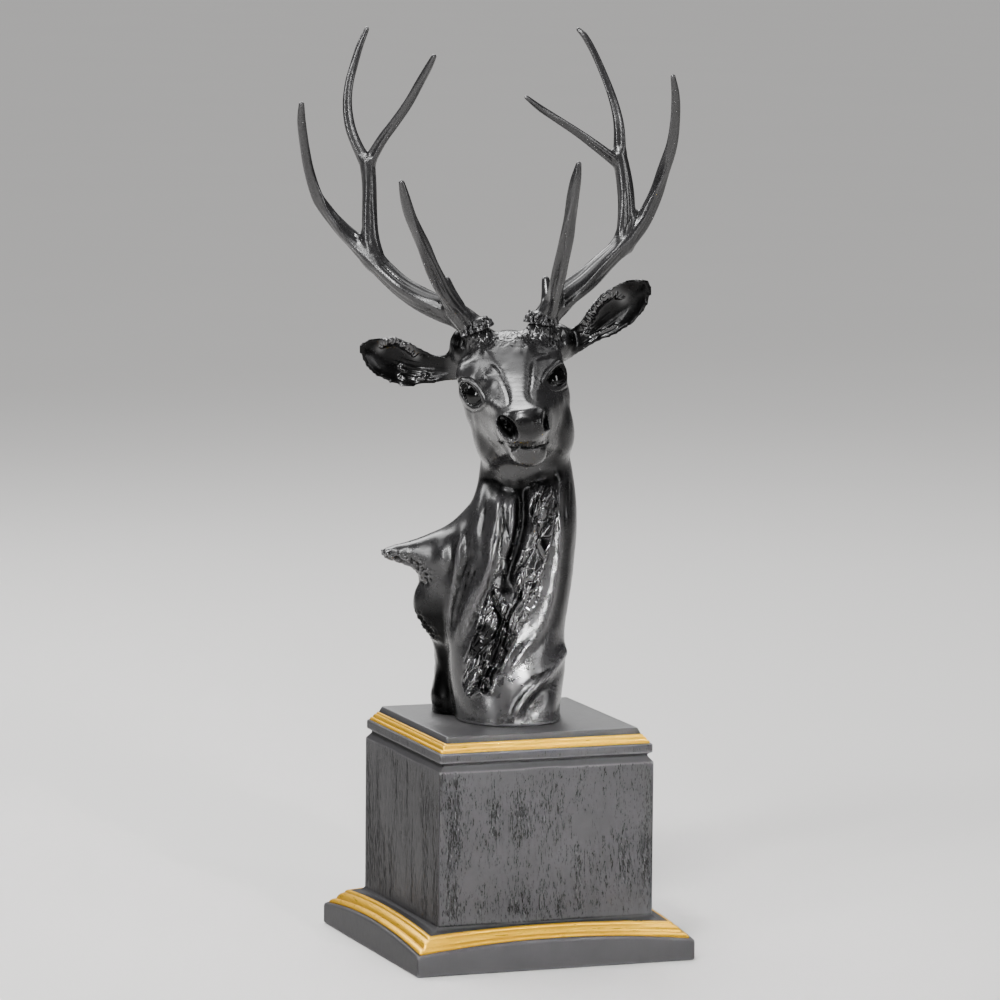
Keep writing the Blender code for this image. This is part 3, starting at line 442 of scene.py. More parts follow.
def evaluated(mesh, add):
    """The mesh after the modifiers that the function adds to an object made for it."""
    thing = bpy.data.objects.new(mesh.name, mesh)
    bpy.context.scene.collection.objects.link(thing)
    add(thing)
    graph = bpy.context.evaluated_depsgraph_get()
    graph.update()
    made = bpy.data.meshes.new_from_object(thing.evaluated_get(graph))
    bpy.data.objects.remove(thing)
    return made


def fused(mesh, voxel, smoothing):
    """The mesh's forms joined into one skin of even cells, then softened."""
    def add(thing):
        remesh = thing.modifiers.new("fuse", "REMESH")
        remesh.mode = "VOXEL"
        remesh.voxel_size = voxel
        smooth = thing.modifiers.new("soften", "SMOOTH")
        smooth.factor = 0.5
        smooth.iterations = smoothing
    return evaluated(mesh, add)


def cut_flat(mesh, point, normal):
    """Cut away what lies past a plane and close the cut."""
    shape = bmesh.new()
    shape.from_mesh(mesh)
    cut = bmesh.ops.bisect_plane(shape, geom=shape.verts[:] + shape.edges[:] + shape.faces[:], dist=1e-5,
                                 plane_co=point, plane_no=normal, clear_outer=True)
    edges = [item for item in cut["geom_cut"] if isinstance(item, bmesh.types.BMEdge)]
    bmesh.ops.holes_fill(shape, edges=edges, sides=0)
    bmesh.ops.triangulate(shape, faces=shape.faces)
    shape.to_mesh(mesh)
    shape.free()
    return mesh


class Lattice:
    """Smooth seeded noise, from -1 to 1."""

    def __init__(self, seed):
        self.values = np.random.default_rng(seed).uniform(-1, 1, (32, 32, 32))

    def read(self, points, cell):
        """The noise at each point; a cell is a length, or one length for each axis."""
        spots = np.asarray(points, float) / cell
        low = np.floor(spots).astype(int)
        part = spots - low
        part = part * part * (3 - 2 * part)
        total = np.zeros(len(spots))
        for corner in np.ndindex(2, 2, 2):
            share = np.prod(np.where(corner, part, 1 - part), axis=1)
            place = (low + corner) % 32
            total += share * self.values[place[:, 0], place[:, 1], place[:, 2]]
        return total

    def crests(self, points, cell):
        """Sharp crests between rounded hollows, from -1 to 1."""
        return 1 - 4 * np.abs(self.read(points, cell))


def plates(points, cell, seed):
    """The nearest of scattered middles: its distance, the way from it, how much farther the next one is
    and its own share."""
    rng = np.random.default_rng(seed)
    jitter = rng.random((16, 16, 16, 3))
    shares = rng.random((16, 16, 16))
    spots = np.asarray(points, float) / cell
    low = np.floor(spots).astype(int)
    best = np.full(len(spots), 9.0)
    further = best.copy()
    share = np.zeros(len(spots))
    way = np.zeros_like(spots)
    for corner in np.ndindex(3, 3, 3):
        place = low + np.array(corner) - 1
        key = tuple((place % 16).T)
        off = spots - place - jitter[key]
        gap = np.linalg.norm(off, axis=1)
        near = gap < best
        further = np.where(near, best, np.minimum(further, gap))
        share[near] = shares[key][near]
        way[near] = off[near]
        best = np.where(near, gap, best)
    return best, way, further - best, share


def mesh_points(mesh):
    points = np.empty(len(mesh.vertices) * 3)
    mesh.vertices.foreach_get("co", points)
    return points.reshape(-1, 3)


def mesh_normals(mesh):
    normals = np.empty(len(mesh.vertices) * 3, np.float32)
    mesh.vertex_normals.foreach_get("vector", normals)
    return normals.reshape(-1, 3).astype(float)


def front_view(points):
    """Where points show in the front view."""
    nearer = VIEW_DISTANCE / (VIEW_DISTANCE + points[:, 1])
    return points[:, 0] * nearer, VIEW_HEIGHT + (points[:, 2] - VIEW_HEIGHT) * nearer


def distance_to(path, across, height):
    """Distance from a path in the front view, the side of it and the place along it."""
    path = np.array(path, float)
    best = np.full(len(across), 1e9)
    side = np.zeros(len(across))
    place = np.zeros(len(across))
    lengths = np.hypot(*(path[1:] - path[:-1]).T)
    total = lengths.sum()
    run = 0.0
    for a, b, length in zip(path[:-1], path[1:], lengths):
        if length == 0:
            continue
        dx, dz = (b - a) / length
        px, pz = across - a[0], height - a[1]
        t = np.clip(px * dx + pz * dz, 0, length)
        off = np.hypot(px - t * dx, pz - t * dz)
        near = off < best
        best[near] = off[near]
        side[near] = np.sign(px * dz - pz * dx)[near]
        place[near] = ((run + t) / total)[near]
        run += length
    return best, side, place


def inside(outline, across, height):
    """How far points lie inside a closed outline of the front view, below zero outside it."""
    outline = np.array(outline, float)
    within = np.zeros(len(across), bool)
    for a, b in zip(outline, np.roll(outline, -1, axis=0)):
        crosses = (a[1] > height) != (b[1] > height)
        slope = (b[0] - a[0]) / (b[1] - a[1]) if a[1] != b[1] else 0.0
        within ^= crosses & (across < a[0] + slope * (height - a[1]))
    off = distance_to(np.vstack([outline, outline[:1]]), across, height)[0]
    return np.where(within, off, -off)


class Surface:
    """A mesh's points as arrays, with where each shows in the front view."""

    def __init__(self, mesh):
        self.mesh = mesh
        self.points = mesh_points(mesh)
        self.normals = mesh_normals(mesh)
        self.across, self.height = front_view(self.points)
        self.facing = np.clip((-self.normals[:, 1] + 0.1) / 0.35, 0, 1)
        self.moves = np.zeros_like(self.points)

    def within(self, depth):
        """Which points lie between two depths."""
        return (self.points[:, 1] > depth[0]) & (self.points[:, 1] < depth[1])

    def stroke(self, path, rise, width, far=None, depth=(-200, 200), ends=0.18, push=None):
        """A ridge (or a groove where rise is negative) along a path drawn in the front view."""
        if len(path) > 2:
            path = through(path, 4)
        off, side, place = distance_to(path, self.across, self.height)
        spread = np.where(side > 0, width, far if far else width)
        form = np.exp(-(off / spread) ** 2) * np.clip(place / ends + 0.15, 0, 1)
        form *= np.clip((1 - place) / ends + 0.15, 0, 1) * self.facing * self.within(depth)
        aim = self.normals if push is None else np.array(push)
        self.moves += (rise * form)[:, None] * aim

    def swell(self, place, radii, rise):
        """A round bulge (or a hollow) about a point in space."""
        off = (self.points - np.array(place)) / np.array(radii)
        self.raise_by(rise * np.exp(-(off ** 2).sum(axis=1)))

    def pit(self, place, radii, turn, rise, edge, depth, push):
        """An oval with steep sides in the front view, pushed one way."""
        dx, dz = self.across - place[0], self.height - place[1]
        long = dx * sin(turn) + dz * cos(turn)
        wide = dx * cos(turn) - dz * sin(turn)
        off = np.hypot(wide / radii[0], long / radii[1])
        form = 1 / (1 + np.exp(np.clip((off - 1) / edge, -30, 30)))
        form *= self.within(depth) * (self.facing > 0.02)
        self.moves += (rise * form)[:, None] * np.array(push)

    def patch(self, outline, soft, depth=(-200, 200)):
        """Weight of the points inside an outline of the front view, with a soft border."""
        reach = inside(outline, self.across, self.height)
        return np.clip(reach / soft + 0.5, 0, 1) * self.within(depth) * self.facing

    def raise_by(self, amount):
        self.moves += amount[:, None] * self.normals

    def apply(self):
        self.points += self.moves
        self.mesh.vertices.foreach_set("co", self.points.ravel())
        self.mesh.update()
        return self.mesh


def refined(mesh, wanted, rounds=1):
    """Halves the mesh cells at the faces that the function picks by their middles and normals."""
    shape = bmesh.new()
    shape.from_mesh(mesh)
    middles = np.array([face.calc_center_median() for face in shape.faces])
    normals = np.array([face.normal for face in shape.faces])
    picked = wanted(middles, normals)
    edges = {edge for face, take in zip(shape.faces, picked) if take for edge in face.edges}
    made = bmesh.ops.subdivide_edges(shape, edges=list(edges), cuts=1, use_grid_fill=True)
    fresh = [item for item in made["geom_inner"] if isinstance(item, bmesh.types.BMVert)]
    for _ in range(rounds):
        bmesh.ops.smooth_vert(shape, verts=fresh, factor=0.5, use_axis_x=True, use_axis_y=True,
                              use_axis_z=True)
    shape.to_mesh(mesh)
    shape.free()
    return mesh


# How strongly the finish answers to sharp edges and hollows: wear and painted highlight on edges, painted
# shade in hollows
RELIEF_GAIN = 2.2


def store_relief(mesh):
    """Keeps how sharply each point stands out of its neighbours, for the finish: wear and painted highlight
    on edges, painted shade in hollows.
    """
    points = mesh_points(mesh)
    normals = mesh_normals(mesh)
    ends = np.empty(len(mesh.edges) * 2, int)
    mesh.edges.foreach_get("vertices", ends)
    a, b = ends.reshape(-1, 2).T
    span = points[b] - points[a]
    length = np.linalg.norm(span, axis=1)
    pull = np.zeros_like(points)
    count = np.zeros(len(points))
    size = np.zeros(len(points))
    for here, way in ((a, span), (b, -span)):
        np.add.at(pull, here, way)
        np.add.at(count, here, 1)
        np.add.at(size, here, length)
    bulge = -(pull * normals).sum(axis=1) / np.maximum(size, 1e-12)
    kept = mesh.attributes.new("relief", "FLOAT", "POINT")
    kept.data.foreach_set("value", np.clip(bulge * RELIEF_GAIN, -1, 1).astype(np.float32))


# Openings of the eyes in the front view
EYE_OPENINGS = [
    [(-33.6, 216.4), (-31.4, 218.6), (-28, 218.2), (-25.2, 216.0), (-22.8, 213.2), (-20.8, 209.8),
     (-19.4, 206.2), (-21.6, 204.0), (-24.6, 203.3), (-27.4, 205.0), (-29.8, 208.2), (-32.2, 212.4)],
    [(22.8, 220.4), (24.3, 223.6), (26.5, 226.4), (29.2, 229.4), (32.2, 231.2), (34.8, 230.8),
     (36.4, 228.4), (36.8, 225.0), (36.0, 221.7), (34.2, 218.8), (31.5, 217.0), (28.8, 216.4),
     (26.3, 217.0), (24.2, 218.4)]]


def carve_face(surface):
    """The face's broad forms, at the coarse mesh."""
    # The flat bridge of the nose between its two soft borders
    surface.stroke([(-18.5, 230), (-9.4, 226), (-3.8, 217), (-3.0, 209), (-6.0, 202)],
                   -1.2, 1.7, depth=FACE_DEPTH)
    surface.stroke([(13.5, 233), (12.4, 222), (12.2, 210), (15.5, 205)], -1.0, 1.7, depth=FACE_DEPTH)
    surface.stroke([(-16.5, 224), (-15.2, 217.5)], 3.4, 4.6, depth=FACE_DEPTH)
    surface.stroke([(-9.6, 208.5), (-12.5, 201.0)], 3.4, 4.6, depth=FACE_DEPTH)
    surface.stroke([(17.5, 222), (17.0, 212)], 1.3, 4.5, depth=FACE_DEPTH)
    # Brows over the eyes and the cheekbones under them
    for side in (-1, 1):
        surface.swell(head_point(side * 30, 11, 4), (7, 5, 8), 2.2)
        surface.swell(head_point(side * 25, -13, 12), (8, 6, 9), 1.6)
        surface.swell(head_point(side * 17, -22, 40), (9, 12, 12), -1.8)
    # Nose pad: its rim, nostrils and the mouth under it
    surface.stroke([(-5.5, 200.4), (4.1, 200.0), (12.1, 201.2), (18.4, 204.0)], 1.4, 1.7, depth=NOSE_DEPTH)
    surface.stroke([(-4.8, 193.4), (-2.6, 189.6), (0.4, 186.0)], -7.0, 3.4, depth=NOSE_DEPTH, push=FRONT)
    surface.stroke([(22.0, 199.2), (23.2, 194.4), (21.4, 189.6)], -4.5, 1.9, depth=NOSE_DEPTH, push=FRONT)
    surface.stroke([(-8.0, 196), (-8.2, 190), (-4.4, 183.8)], 1.2, 1.7, depth=NOSE_DEPTH)
    surface.stroke([(26.0, 199), (26.6, 193), (23.8, 186)], 1.0, 1.6, depth=NOSE_DEPTH)
    surface.stroke([(-16, 176), (-9.4, 178.4), (-5.2, 180.6), (3.0, 177.2), (8.5, 177.4), (15.0, 178.2),
                    (21.4, 180.2), (26.6, 184.0)], -1.0, 1.2, depth=(-100, -42), ends=0.1)
    surface.stroke([(1.5, 173.5), (10, 173.8), (20, 176)], 1.6, 2.2, depth=NOSE_DEPTH)
    # Hollows of the temples between the antlers' stalks and the ears
    surface.stroke([(-39, 252), (-36.5, 243)], -4.5, 4.5, depth=(-30, 40), push=(0.3, -0.95, 0))
    surface.stroke([(36.5, 255), (37.5, 246)], -4.0, 4.2, depth=(-30, 40), push=(-0.3, -0.95, 0))


def carve_neck(surface):
    """The neck's long ropes, folds and hollows, at the coarse mesh."""
    surface.stroke([(-18, 160), (-9, 152), (2, 150), (16, 154), (30, 159)],
                   -6.0, 6.0, depth=(-21.5, 44), ends=0.1)
    # Long ropes of the mane, from under the jaw down to the left
    surface.stroke([(-8.5, 152), (-7.7, 133), (-11.1, 116), (-12.6, 99), (-17.6, 88), (-27.6, 68),
                    (-34, 50)], 3.0, 3.0, 2.2, depth=CHEST_DEPTH)
    surface.stroke([(-4.0, 150), (-3.6, 129), (-5.5, 112), (-7, 97), (-12, 84), (-22, 64), (-29, 46)],
                   -2.4, 2.4, depth=CHEST_DEPTH)
    surface.stroke([(-18, 148), (-20, 133), (-22, 116), (-21.5, 100), (-26, 86), (-33, 66)],
                   1.8, 4.5, depth=CHEST_DEPTH)
    surface.stroke([(-26.5, 128), (-27.5, 114), (-27, 100), (-29.5, 86), (-36, 66), (-38, 48)],
                   -2.2, 2.0, depth=CHEST_DEPTH)
    surface.stroke([(-31.5, 124), (-30.8, 109), (-34.5, 92), (-38.3, 77), (-40.0, 60), (-40.6, 46)],
                   2.6, 2.2, 2.2, depth=CHEST_DEPTH)
    surface.stroke([(-37.5, 118), (-37.6, 104), (-41.5, 90)], -1.8, 2.2, depth=CHEST_DEPTH)
    surface.stroke([(-44.2, 113), (-43.8, 98)], 1.8, 2.4, depth=CHEST_DEPTH)
    # The hollow between the mane and the torn chest
    surface.stroke([(7.4, 150), (7.6, 126), (4.0, 110), (-1, 95)], -4.6, 4.6, depth=CHEST_DEPTH)
    surface.stroke([(1.0, 142), (0.8, 122), (0, 106)], 1.8, 3.4, depth=CHEST_DEPTH)
    # Folds of the smooth right side
    surface.stroke([(31.5, 160), (30.3, 139), (32.2, 122), (30, 96), (25.7, 75), (18, 56), (3, 35.5),
                    (-9, 17)], 1.7, 1.5, 2.6, depth=CHEST_DEPTH)
    surface.stroke([(35.5, 150), (35.5, 120), (34, 96), (31, 74), (25, 55), (12, 36)],
                   -1.8, 2.0, depth=CHEST_DEPTH)
    surface.stroke([(38, 48), (35.5, 43.5), (26.1, 28.8), (18.4, 23.0), (10, 14), (5.5, 5), (3.5, -2)],
                   3.4, 1.6, 4.5, depth=CHEST_DEPTH, ends=0.1)
    surface.stroke([(40, 42), (30, 28), (22, 18), (13, 6), (10, -2)],
                   -2.4, 3.0, depth=CHEST_DEPTH, ends=0.1)
    surface.swell((27, -30, 10), (8, 14, 14), 3.0)
    # The cut side at the left, sunk behind the mane's last rope
    surface.stroke([(-43, 66), (-43.5, 48), (-42.5, 24), (-40, 2)],
                   -3.4, 3.2, depth=(-30, 30), push=(-1, 0, 0))


def carve_back(surface):
    """Broad, plain folds on the side away from the viewer."""
    points = surface.points
    behind = np.clip((surface.normals[:, 1] - 0.3) / 0.4, 0, 1) * np.clip((points[:, 2] - 4) / 20, 0, 1)
    below_head = np.clip((178 - points[:, 2]) / 25, 0, 1)
    sweep = points[:, 0] + 0.0032 * (150 - points[:, 2]) ** 2 * np.where(points[:, 2] < 150, 1, 0)
    waves = 1.5 * np.cos(sweep * 2 * pi / 15.0) + 0.7 * np.cos(sweep * 2 * pi / 8.3 + 1.0)
    surface.moves += (waves * behind * below_head)[:, None] * surface.normals


# Eyes: the ball's radius, how far it stands out of its rim, and its share of the rim's turn
EYE_RADIUS = 11.0
EYE_PROUD = 1.2
EYE_TURN = 0.45
# From an eye's edge outwards: how far the folds of its lids stand out
LID_FOLDS = [(0.0, -0.9), (0.8, 0.5), (1.6, 1.7), (2.5, 1.2), (3.3, 0.1), (4.3, 0.6), (5.4, 0.3), (7.0, 0.0)]


def carve_eye(surface, opening):
    """A round eyeball in its opening, the crease round it and the thick folds of both lids."""
    points = surface.points
    reach = inside(opening, surface.across, surface.height)
    seen = (surface.normals[:, 1] < 0.2) & surface.within(EYE_DEPTH)
    rim = points[(np.abs(reach + 1.5) < 2) & seen]
    across_and_up = np.stack([np.ones(len(rim)), rim[:, 0], rim[:, 2]], axis=1)
    slope = np.linalg.lstsq(across_and_up, rim[:, 1], rcond=None)[0]
    middle = points[(reach > 0) & seen].mean(axis=0)
    middle[1] = slope @ (1, middle[0], middle[2])
    way = np.array((EYE_TURN * slope[1], -1, EYE_TURN * slope[2]))
    centre = middle - (EYE_RADIUS - EYE_PROUD) * way / np.linalg.norm(way)
    off = np.hypot(points[:, 0] - centre[0], points[:, 2] - centre[2])
    level = centre[1] - np.sqrt(np.clip(EYE_RADIUS ** 2 - off ** 2, 4, None))
    share = np.clip(reach / 0.9 + 0.3, 0, 1)
    folds = np.interp(-reach, *np.array(LID_FOLDS).T) * (reach > -7)
    surface.moves[:, 1] += seen * (share * (level - points[:, 1]) - (1 - share) * folds)


# Outlines and paths of the fine parts, in the front view
FACE = [(-44, 262), (-20, 266), (26, 270), (44, 262), (48, 225), (46, 185), (32, 158), (-4, 154), (-26, 172),
        (-38, 205)]
TORN_CHEST = [
    (17, 153), (26, 150), (30.6, 139), (29.3, 129), (25.3, 110), (21.3, 97), (17, 73), (6, 55.5),
    (-2, 36.7), (-9, 26), (-12, 15.6), (-25.7, 13.9), (-29.4, 19.6), (-28.5, 36.5), (-21.9, 54.4),
    (-18.9, 66), (-13.8, 81.7), (-9.2, 87), (-4.4, 75.5), (1.8, 72.4), (4.3, 81.9), (3.2, 94.4),
    (8.8, 109), (16, 111.3), (14.3, 129), (12.6, 138)]
HAIR = [(-32.4, 257), (-21.7, 260.5), (-13.5, 260), (-8.5, 253.5), (3.9, 253.2), (6.3, 264.8), (17.8, 265),
        (24, 263), (32.8, 255), (29.6, 241), (19.7, 243.5), (4.8, 242), (-10, 243), (-21.6, 240),
        (-30, 245)]
# The way the tear runs, and its plates, large and small: cell, seed, rise, tilt and depth of their cracks
TEAR_LIE = radians(-19)
TORN_PLATES = [((6.8, 14, 21), 14, 0.75, 1.5, 0.40), ((3.3, 9, 9.0), 15, 0.24, 0.42, 0.12)]
WING_EDGE = [(-84.5, 108.4), (-78.3, 104.7), (-68.9, 101.4), (-62.7, 100.2), (-57.3, 95.5), (-55.1, 89.2)]
LOBE_EDGE = [(-60.5, 66), (-58.0, 62.0), (-53.1, 57.3), (-49.9, 53.1)]
EAR_REACH = 15
EAR_SPANS = {
    "left": [(-38, 227), (-52, 226), (-66, 228), (-80, 233), (-97, 241)],
    "right": [(40, 243), (51, 251), (62, 260), (73, 269), (87, 283)]}
EAR_HAIR = [
    [(-85.4, 240.3), (-83.3, 243.6), (-79.5, 245.0), (-75.5, 245.4), (-70.4, 243.2), (-66.0, 239.6),
     (-62, 235.5)],
    [(71.4, 274.4), (67.6, 277.0), (61.8, 276.2), (56.4, 272.4), (52.6, 266.9), (49.6, 260.4),
     (47.0, 253.9), (47.8, 249.2)],
    [(-68.1, 225.6), (-70.3, 226.4), (-72.4, 228.5), (-69.8, 230.4)],
    [(-73.0, 223.0), (-68.6, 220.4)],
    [(-57.4, 225.0), (-55.1, 222.9), (-58.4, 221.0), (-62.2, 220.9)],
    [(51.4, 249.9), (60.1, 252.5), (68.7, 257.2)]]
EAR_HAIR_WIDTHS = (2.5, 3.6, 1.1, 1.2, 1.7, 1.3)
MOUTH = [(-15.3, 178.6), (-9.0, 178.8), (-5.2, 179.4), (0.5, 176.6), (5.0, 177.0), (10.4, 176.2),
         (16.2, 177.0), (21.1, 178.6), (26.1, 182.0), (28.1, 184.4)]


def near_front(points, normals, paths, reach, depth):
    """Which faces lie near one of the paths of the front view, on the side that the viewer sees."""
    across, height = front_view(points)
    picked = np.zeros(len(points), bool)
    for path in paths:
        picked |= distance_to(path, across, height)[0] < reach
    return picked & (normals[:, 1] < 0.35) & (points[:, 1] > depth[0]) & (points[:, 1] < depth[1])


def fine_parts(points, normals):
    """The face, the torn chest, the hair, the torn rims and the insides of the ears."""
    across, height = front_view(points)
    seen = normals[:, 1] < 0.30
    picked = (inside(FACE, across, height) > 0) & (points[:, 1] < 12) & seen
    picked |= (inside(TORN_CHEST, across, height) > -3) & (points[:, 1] < 30) & seen
    picked |= near_front(points, normals, [WING_EDGE, LOBE_EDGE], 6, (-30, 60))
    return picked | near_front(points, normals, list(EAR_SPANS.values()), EAR_REACH, EAR_DEPTH)


def finest_parts(points, normals):
    """Eyes, the torn chest, nostrils, mouth, the hair's curls and the strands in the ears."""
    across, height = front_view(points)
    picked = np.zeros(len(points), bool)
    for opening in EYE_OPENINGS:
        picked |= (inside(opening, across, height) > -6) & (normals[:, 1] < 0.3) & (points[:, 1] < 24)
    picked |= (inside(TORN_CHEST, across, height) > -1) & (normals[:, 1] < 0.1) & (points[:, 1] < 20)
    picked |= (inside(HAIR, across, height) > -1) & (normals[:, 1] < 0.1) & (points[:, 1] < 20)
    nose = [[(-3, 190), (0, 188)], [(22, 203), (23, 190)], MOUTH]
    picked |= near_front(points, normals, nose[:1], 11, NOSE_DEPTH)
    picked |= near_front(points, normals, nose[1:2], 4, NOSE_DEPTH)
    picked |= near_front(points, normals, nose[2:], 3, (NOSE_DEPTH[0], MOUTH_DEPTH[1]))
    return picked | near_front(points, normals, EAR_HAIR, 4.5, EAR_DEPTH)


def carve_torn_chest(surface, depth):
    """Bark-like plates where the chest is torn open, tilted every way and drawn out down the tear."""
    along = surface.height * cos(TEAR_LIE) - surface.across * sin(TEAR_LIE)
    aside = surface.across * cos(TEAR_LIE) + surface.height * sin(TEAR_LIE)
    weight = surface.patch(TORN_CHEST, 2.0, TEAR_DEPTH)
    spots = np.stack([aside, 0.25 * surface.points[:, 1], along], axis=1)
    spots[:, 0] += 2.0 * Lattice(11).read(spots, (7, 9, 15)) + 0.6 * Lattice(12).read(spots, (2.8, 5, 6))
    spots[:, 2] += 2.6 * Lattice(13).read(spots, (5, 9, 9))
    lift = np.full(len(along), -0.70)
    for cell, seed, rise, tilt, crack in TORN_PLATES:
        _, way, gap, share = plates(spots, cell, seed)
        other = 7.3 * share % 1
        lift += rise * share + tilt * (way[:, 0] * (2 * share - 1) + way[:, 2] * (2 * other - 1))
        lift += crack * np.clip(gap / 0.22, 0, 1)
    hollows = Lattice(16).read(spots, (5.0, 9, 17))
    lift -= 1.2 * np.clip((hollows - 0.25) / 0.25, 0, 1)
    surface.raise_by(weight * lift * depth)
    rim = np.exp(-(inside(TORN_CHEST, surface.across, surface.height) / 1.3) ** 2)
    ragged = np.clip(0.4 + 1.2 * Lattice(17).read(spots, (5, 9, 7)), 0, 1.3)
    surface.raise_by(0.30 * depth * rim * ragged * surface.facing * surface.within(TEAR_DEPTH))


def carve_chest_folds(surface):
    """Narrow folds and cracks of the mane beside the tear."""
    surface.stroke([(7.0, 150), (7.4, 138), (7.0, 126), (3.4, 111), (-0.8, 96), (-2.4, 84)],
                   -3.0, 3.2, depth=CHEST_DEPTH)
    surface.stroke([(-2.9, 128), (-3.3, 125.8), (-0.8, 116.9), (-0.2, 114)], -1.7, 0.9, depth=CHEST_DEPTH)
    surface.stroke([(-7.6, 144), (-8.0, 130), (-9.2, 115), (-12.9, 100.6), (-18.0, 83.8), (-26.1, 65.9),
                    (-31.7, 50.1)], 1.2, 1.2, depth=CHEST_DEPTH)
    surface.stroke([(-30.7, 120.3), (-33.7, 108.8), (-34.9, 96.2), (-37.6, 78.4), (-39.6, 62.6),
                    (-41.0, 48)], 1.3, 1.0, depth=CHEST_DEPTH)
    surface.stroke([(-21.0, 100), (-26.3, 87.9), (-30.4, 75.3), (-33.4, 62)], -1.1, 1.3, depth=CHEST_DEPTH)
    surface.stroke([(-24.5, 104), (-29.0, 91), (-33.0, 77), (-36.2, 62)], 0.9, 1.3, depth=CHEST_DEPTH)
    surface.stroke([(-16.0, 150), (-17.0, 134), (-19.5, 118)], -0.9, 1.6, depth=CHEST_DEPTH)
    surface.stroke([(27.5, 30.5), (19.9, 22.2), (12.7, 14.8), (6.6, 7.3), (3.5, 0.5)],
                   1.5, 1.0, 1.6, depth=CHEST_DEPTH, ends=0.1)
    surface.stroke([(33.0, 158), (31.0, 139), (32.4, 122), (30.4, 96), (26, 75)],
                   0.9, 0.8, depth=CHEST_DEPTH)
    surface.stroke([(37.5, 160), (36.8, 138), (37.6, 118)], 0.7, 1.0, depth=CHEST_DEPTH)


def carve_torn_rims(surface):
    """The crumbled thickness under the torn shoulder and at its lobe."""
    lumps = Lattice(21).crests(surface.points, 3.2)
    crumbs = Lattice(22).read(surface.points, 1.5)
    for path, reach, rise in ((WING_EDGE, 3.4, 1.1), (LOBE_EDGE, 3.2, 1.2)):
        off = distance_to(path, surface.across, surface.height)[0]
        weight = np.exp(-(off / reach) ** 2) * surface.within((-12, 44))
        surface.raise_by(weight * rise * (0.8 * lumps + 0.7 * crumbs - 0.15))
    points = surface.points
    edge = (points[:, 0] < -44) & (points[:, 2] < 64) & (points[:, 2] > 2)
    surface.raise_by(edge * 0.5 * Lattice(23).read(points, (6, 6, 4.5)))


def carve_hair(surface, height):
    """Short curls between the antlers and coarser tufts towards the temples."""
    reach = inside(HAIR, surface.across, surface.height)
    ragged = 2.2 * Lattice(30).read(surface.points, 3.0)
    weight = np.clip((reach + ragged) / 5.0 + 0.3, 0, 1) * surface.within((-40, 22)) * surface.facing
    points = surface.points
    bend = np.stack([Lattice(seed).read(points, 3.4) for seed in (31, 32, 33)], axis=1) * 1.5
    curls = Lattice(34).read(points + bend, (1.1, 1.6, 2.1))
    clumps = Lattice(35).read(points + bend, 3.6)
    surface.raise_by(weight * height * (0.95 * curls + 0.8 * clumps))
    strands = Lattice(36).crests(points, (1.9, 4.0, 7.0))
    for centre in ((30, 247), (-31, 243)):
        near = np.hypot(surface.across - centre[0], surface.height - centre[1])
        surface.raise_by(np.exp(-(near / 5.0) ** 2) * 1.6 * height * strands * surface.within((-30, 30)))
    for place in ((-16.6, 239.7), (-0.2, 245.0), (4.0, 239.1), (10.6, 240.8), (18.9, 243.3)):
        near = np.hypot(surface.across - place[0], surface.height - place[1])
        surface.raise_by(np.exp(-(near / 2.6) ** 2) * 0.9 * surface.within((-40, 12)))


def carve_muzzle(surface):
    """Nose rim, nostrils and the creases beside the bridge, at the fine mesh."""
    surface.stroke([(-14.1, 230.2), (-9.9, 227.3), (-6.1, 220.4), (-2.7, 212), (-2.0, 206), (-4.6, 201.6)],
                   -1.0, 0.9, depth=FACE_DEPTH)
    surface.stroke([(14.4, 233.4), (13.2, 228), (12.6, 220), (11.9, 212.6), (14.6, 206.4)],
                   -0.8, 0.9, depth=FACE_DEPTH)
    surface.stroke([(14.4, 234.0), (18.9, 235.9), (24.0, 236.8)], 0.9, 1.4, depth=FACE_DEPTH)
    surface.stroke([(-4.4, 200.6), (2, 200.4), (7.4, 200.5), (13.5, 201.9), (18.2, 204.4)],
                   0.6, 1.2, depth=NOSE_DEPTH)
    away = -np.array(FRONT)
    surface.pit((-2.4, 189.3), (4.2, 8.0), radians(-38), 10.0, 0.09, NOSE_DEPTH, away)
    surface.pit((22.7, 195.8), (1.5, 6.8), radians(3), 4.5, 0.16, NOSE_DEPTH, away)
    surface.stroke([(-8.8, 197.5), (-9.0, 191), (-5.6, 184.6), (-1.0, 180.8), (3.8, 181.6), (5.6, 185.6)],
                   0.9, 0.9, depth=NOSE_DEPTH)
    surface.stroke([(24.9, 202.6), (26.2, 196), (25.4, 189.6), (21.6, 186.6)], 0.8, 0.8, depth=NOSE_DEPTH)
    surface.stroke([(19.6, 203.4), (19.4, 196), (19.0, 189.6)], 0.6, 1.1, depth=NOSE_DEPTH)


def carve_lips(surface):
    """The mouth's line with its small dents, and the lip's lobe under it."""
    surface.stroke(MOUTH, -1.5, 0.65, depth=MOUTH_DEPTH, ends=0.08)
    surface.stroke([(0.6, 172.8), (4.6, 175.0)], 1.5, 1.5, depth=MOUTH_DEPTH)
    surface.stroke([(13.6, 175.6), (18.6, 176.0)], 1.7, 1.7, depth=MOUTH_DEPTH)
    surface.stroke([(-13.5, 181.0), (-7.0, 181.6)], 0.9, 1.2, depth=MOUTH_DEPTH)
    surface.stroke([(-12.5, 175.6), (-8.6, 176.2), (-5.6, 176.0)], -1.2, 1.8, depth=MOUTH_DEPTH)
    surface.stroke([(0.2, 171.5), (3.8, 165.4), (12.2, 162.6), (21.6, 165.4), (24.8, 170.6)],
                   -1.0, 1.2, depth=MOUTH_DEPTH)
    dents = np.cos(surface.across * 2 * pi / 2.1)
    near = distance_to(MOUTH[3:8], surface.across, surface.height - 0.9)[0]
    dents *= np.exp(-(near / 0.8) ** 2) * 0.30 * surface.within(MOUTH_DEPTH) * surface.facing
    surface.raise_by(dents)


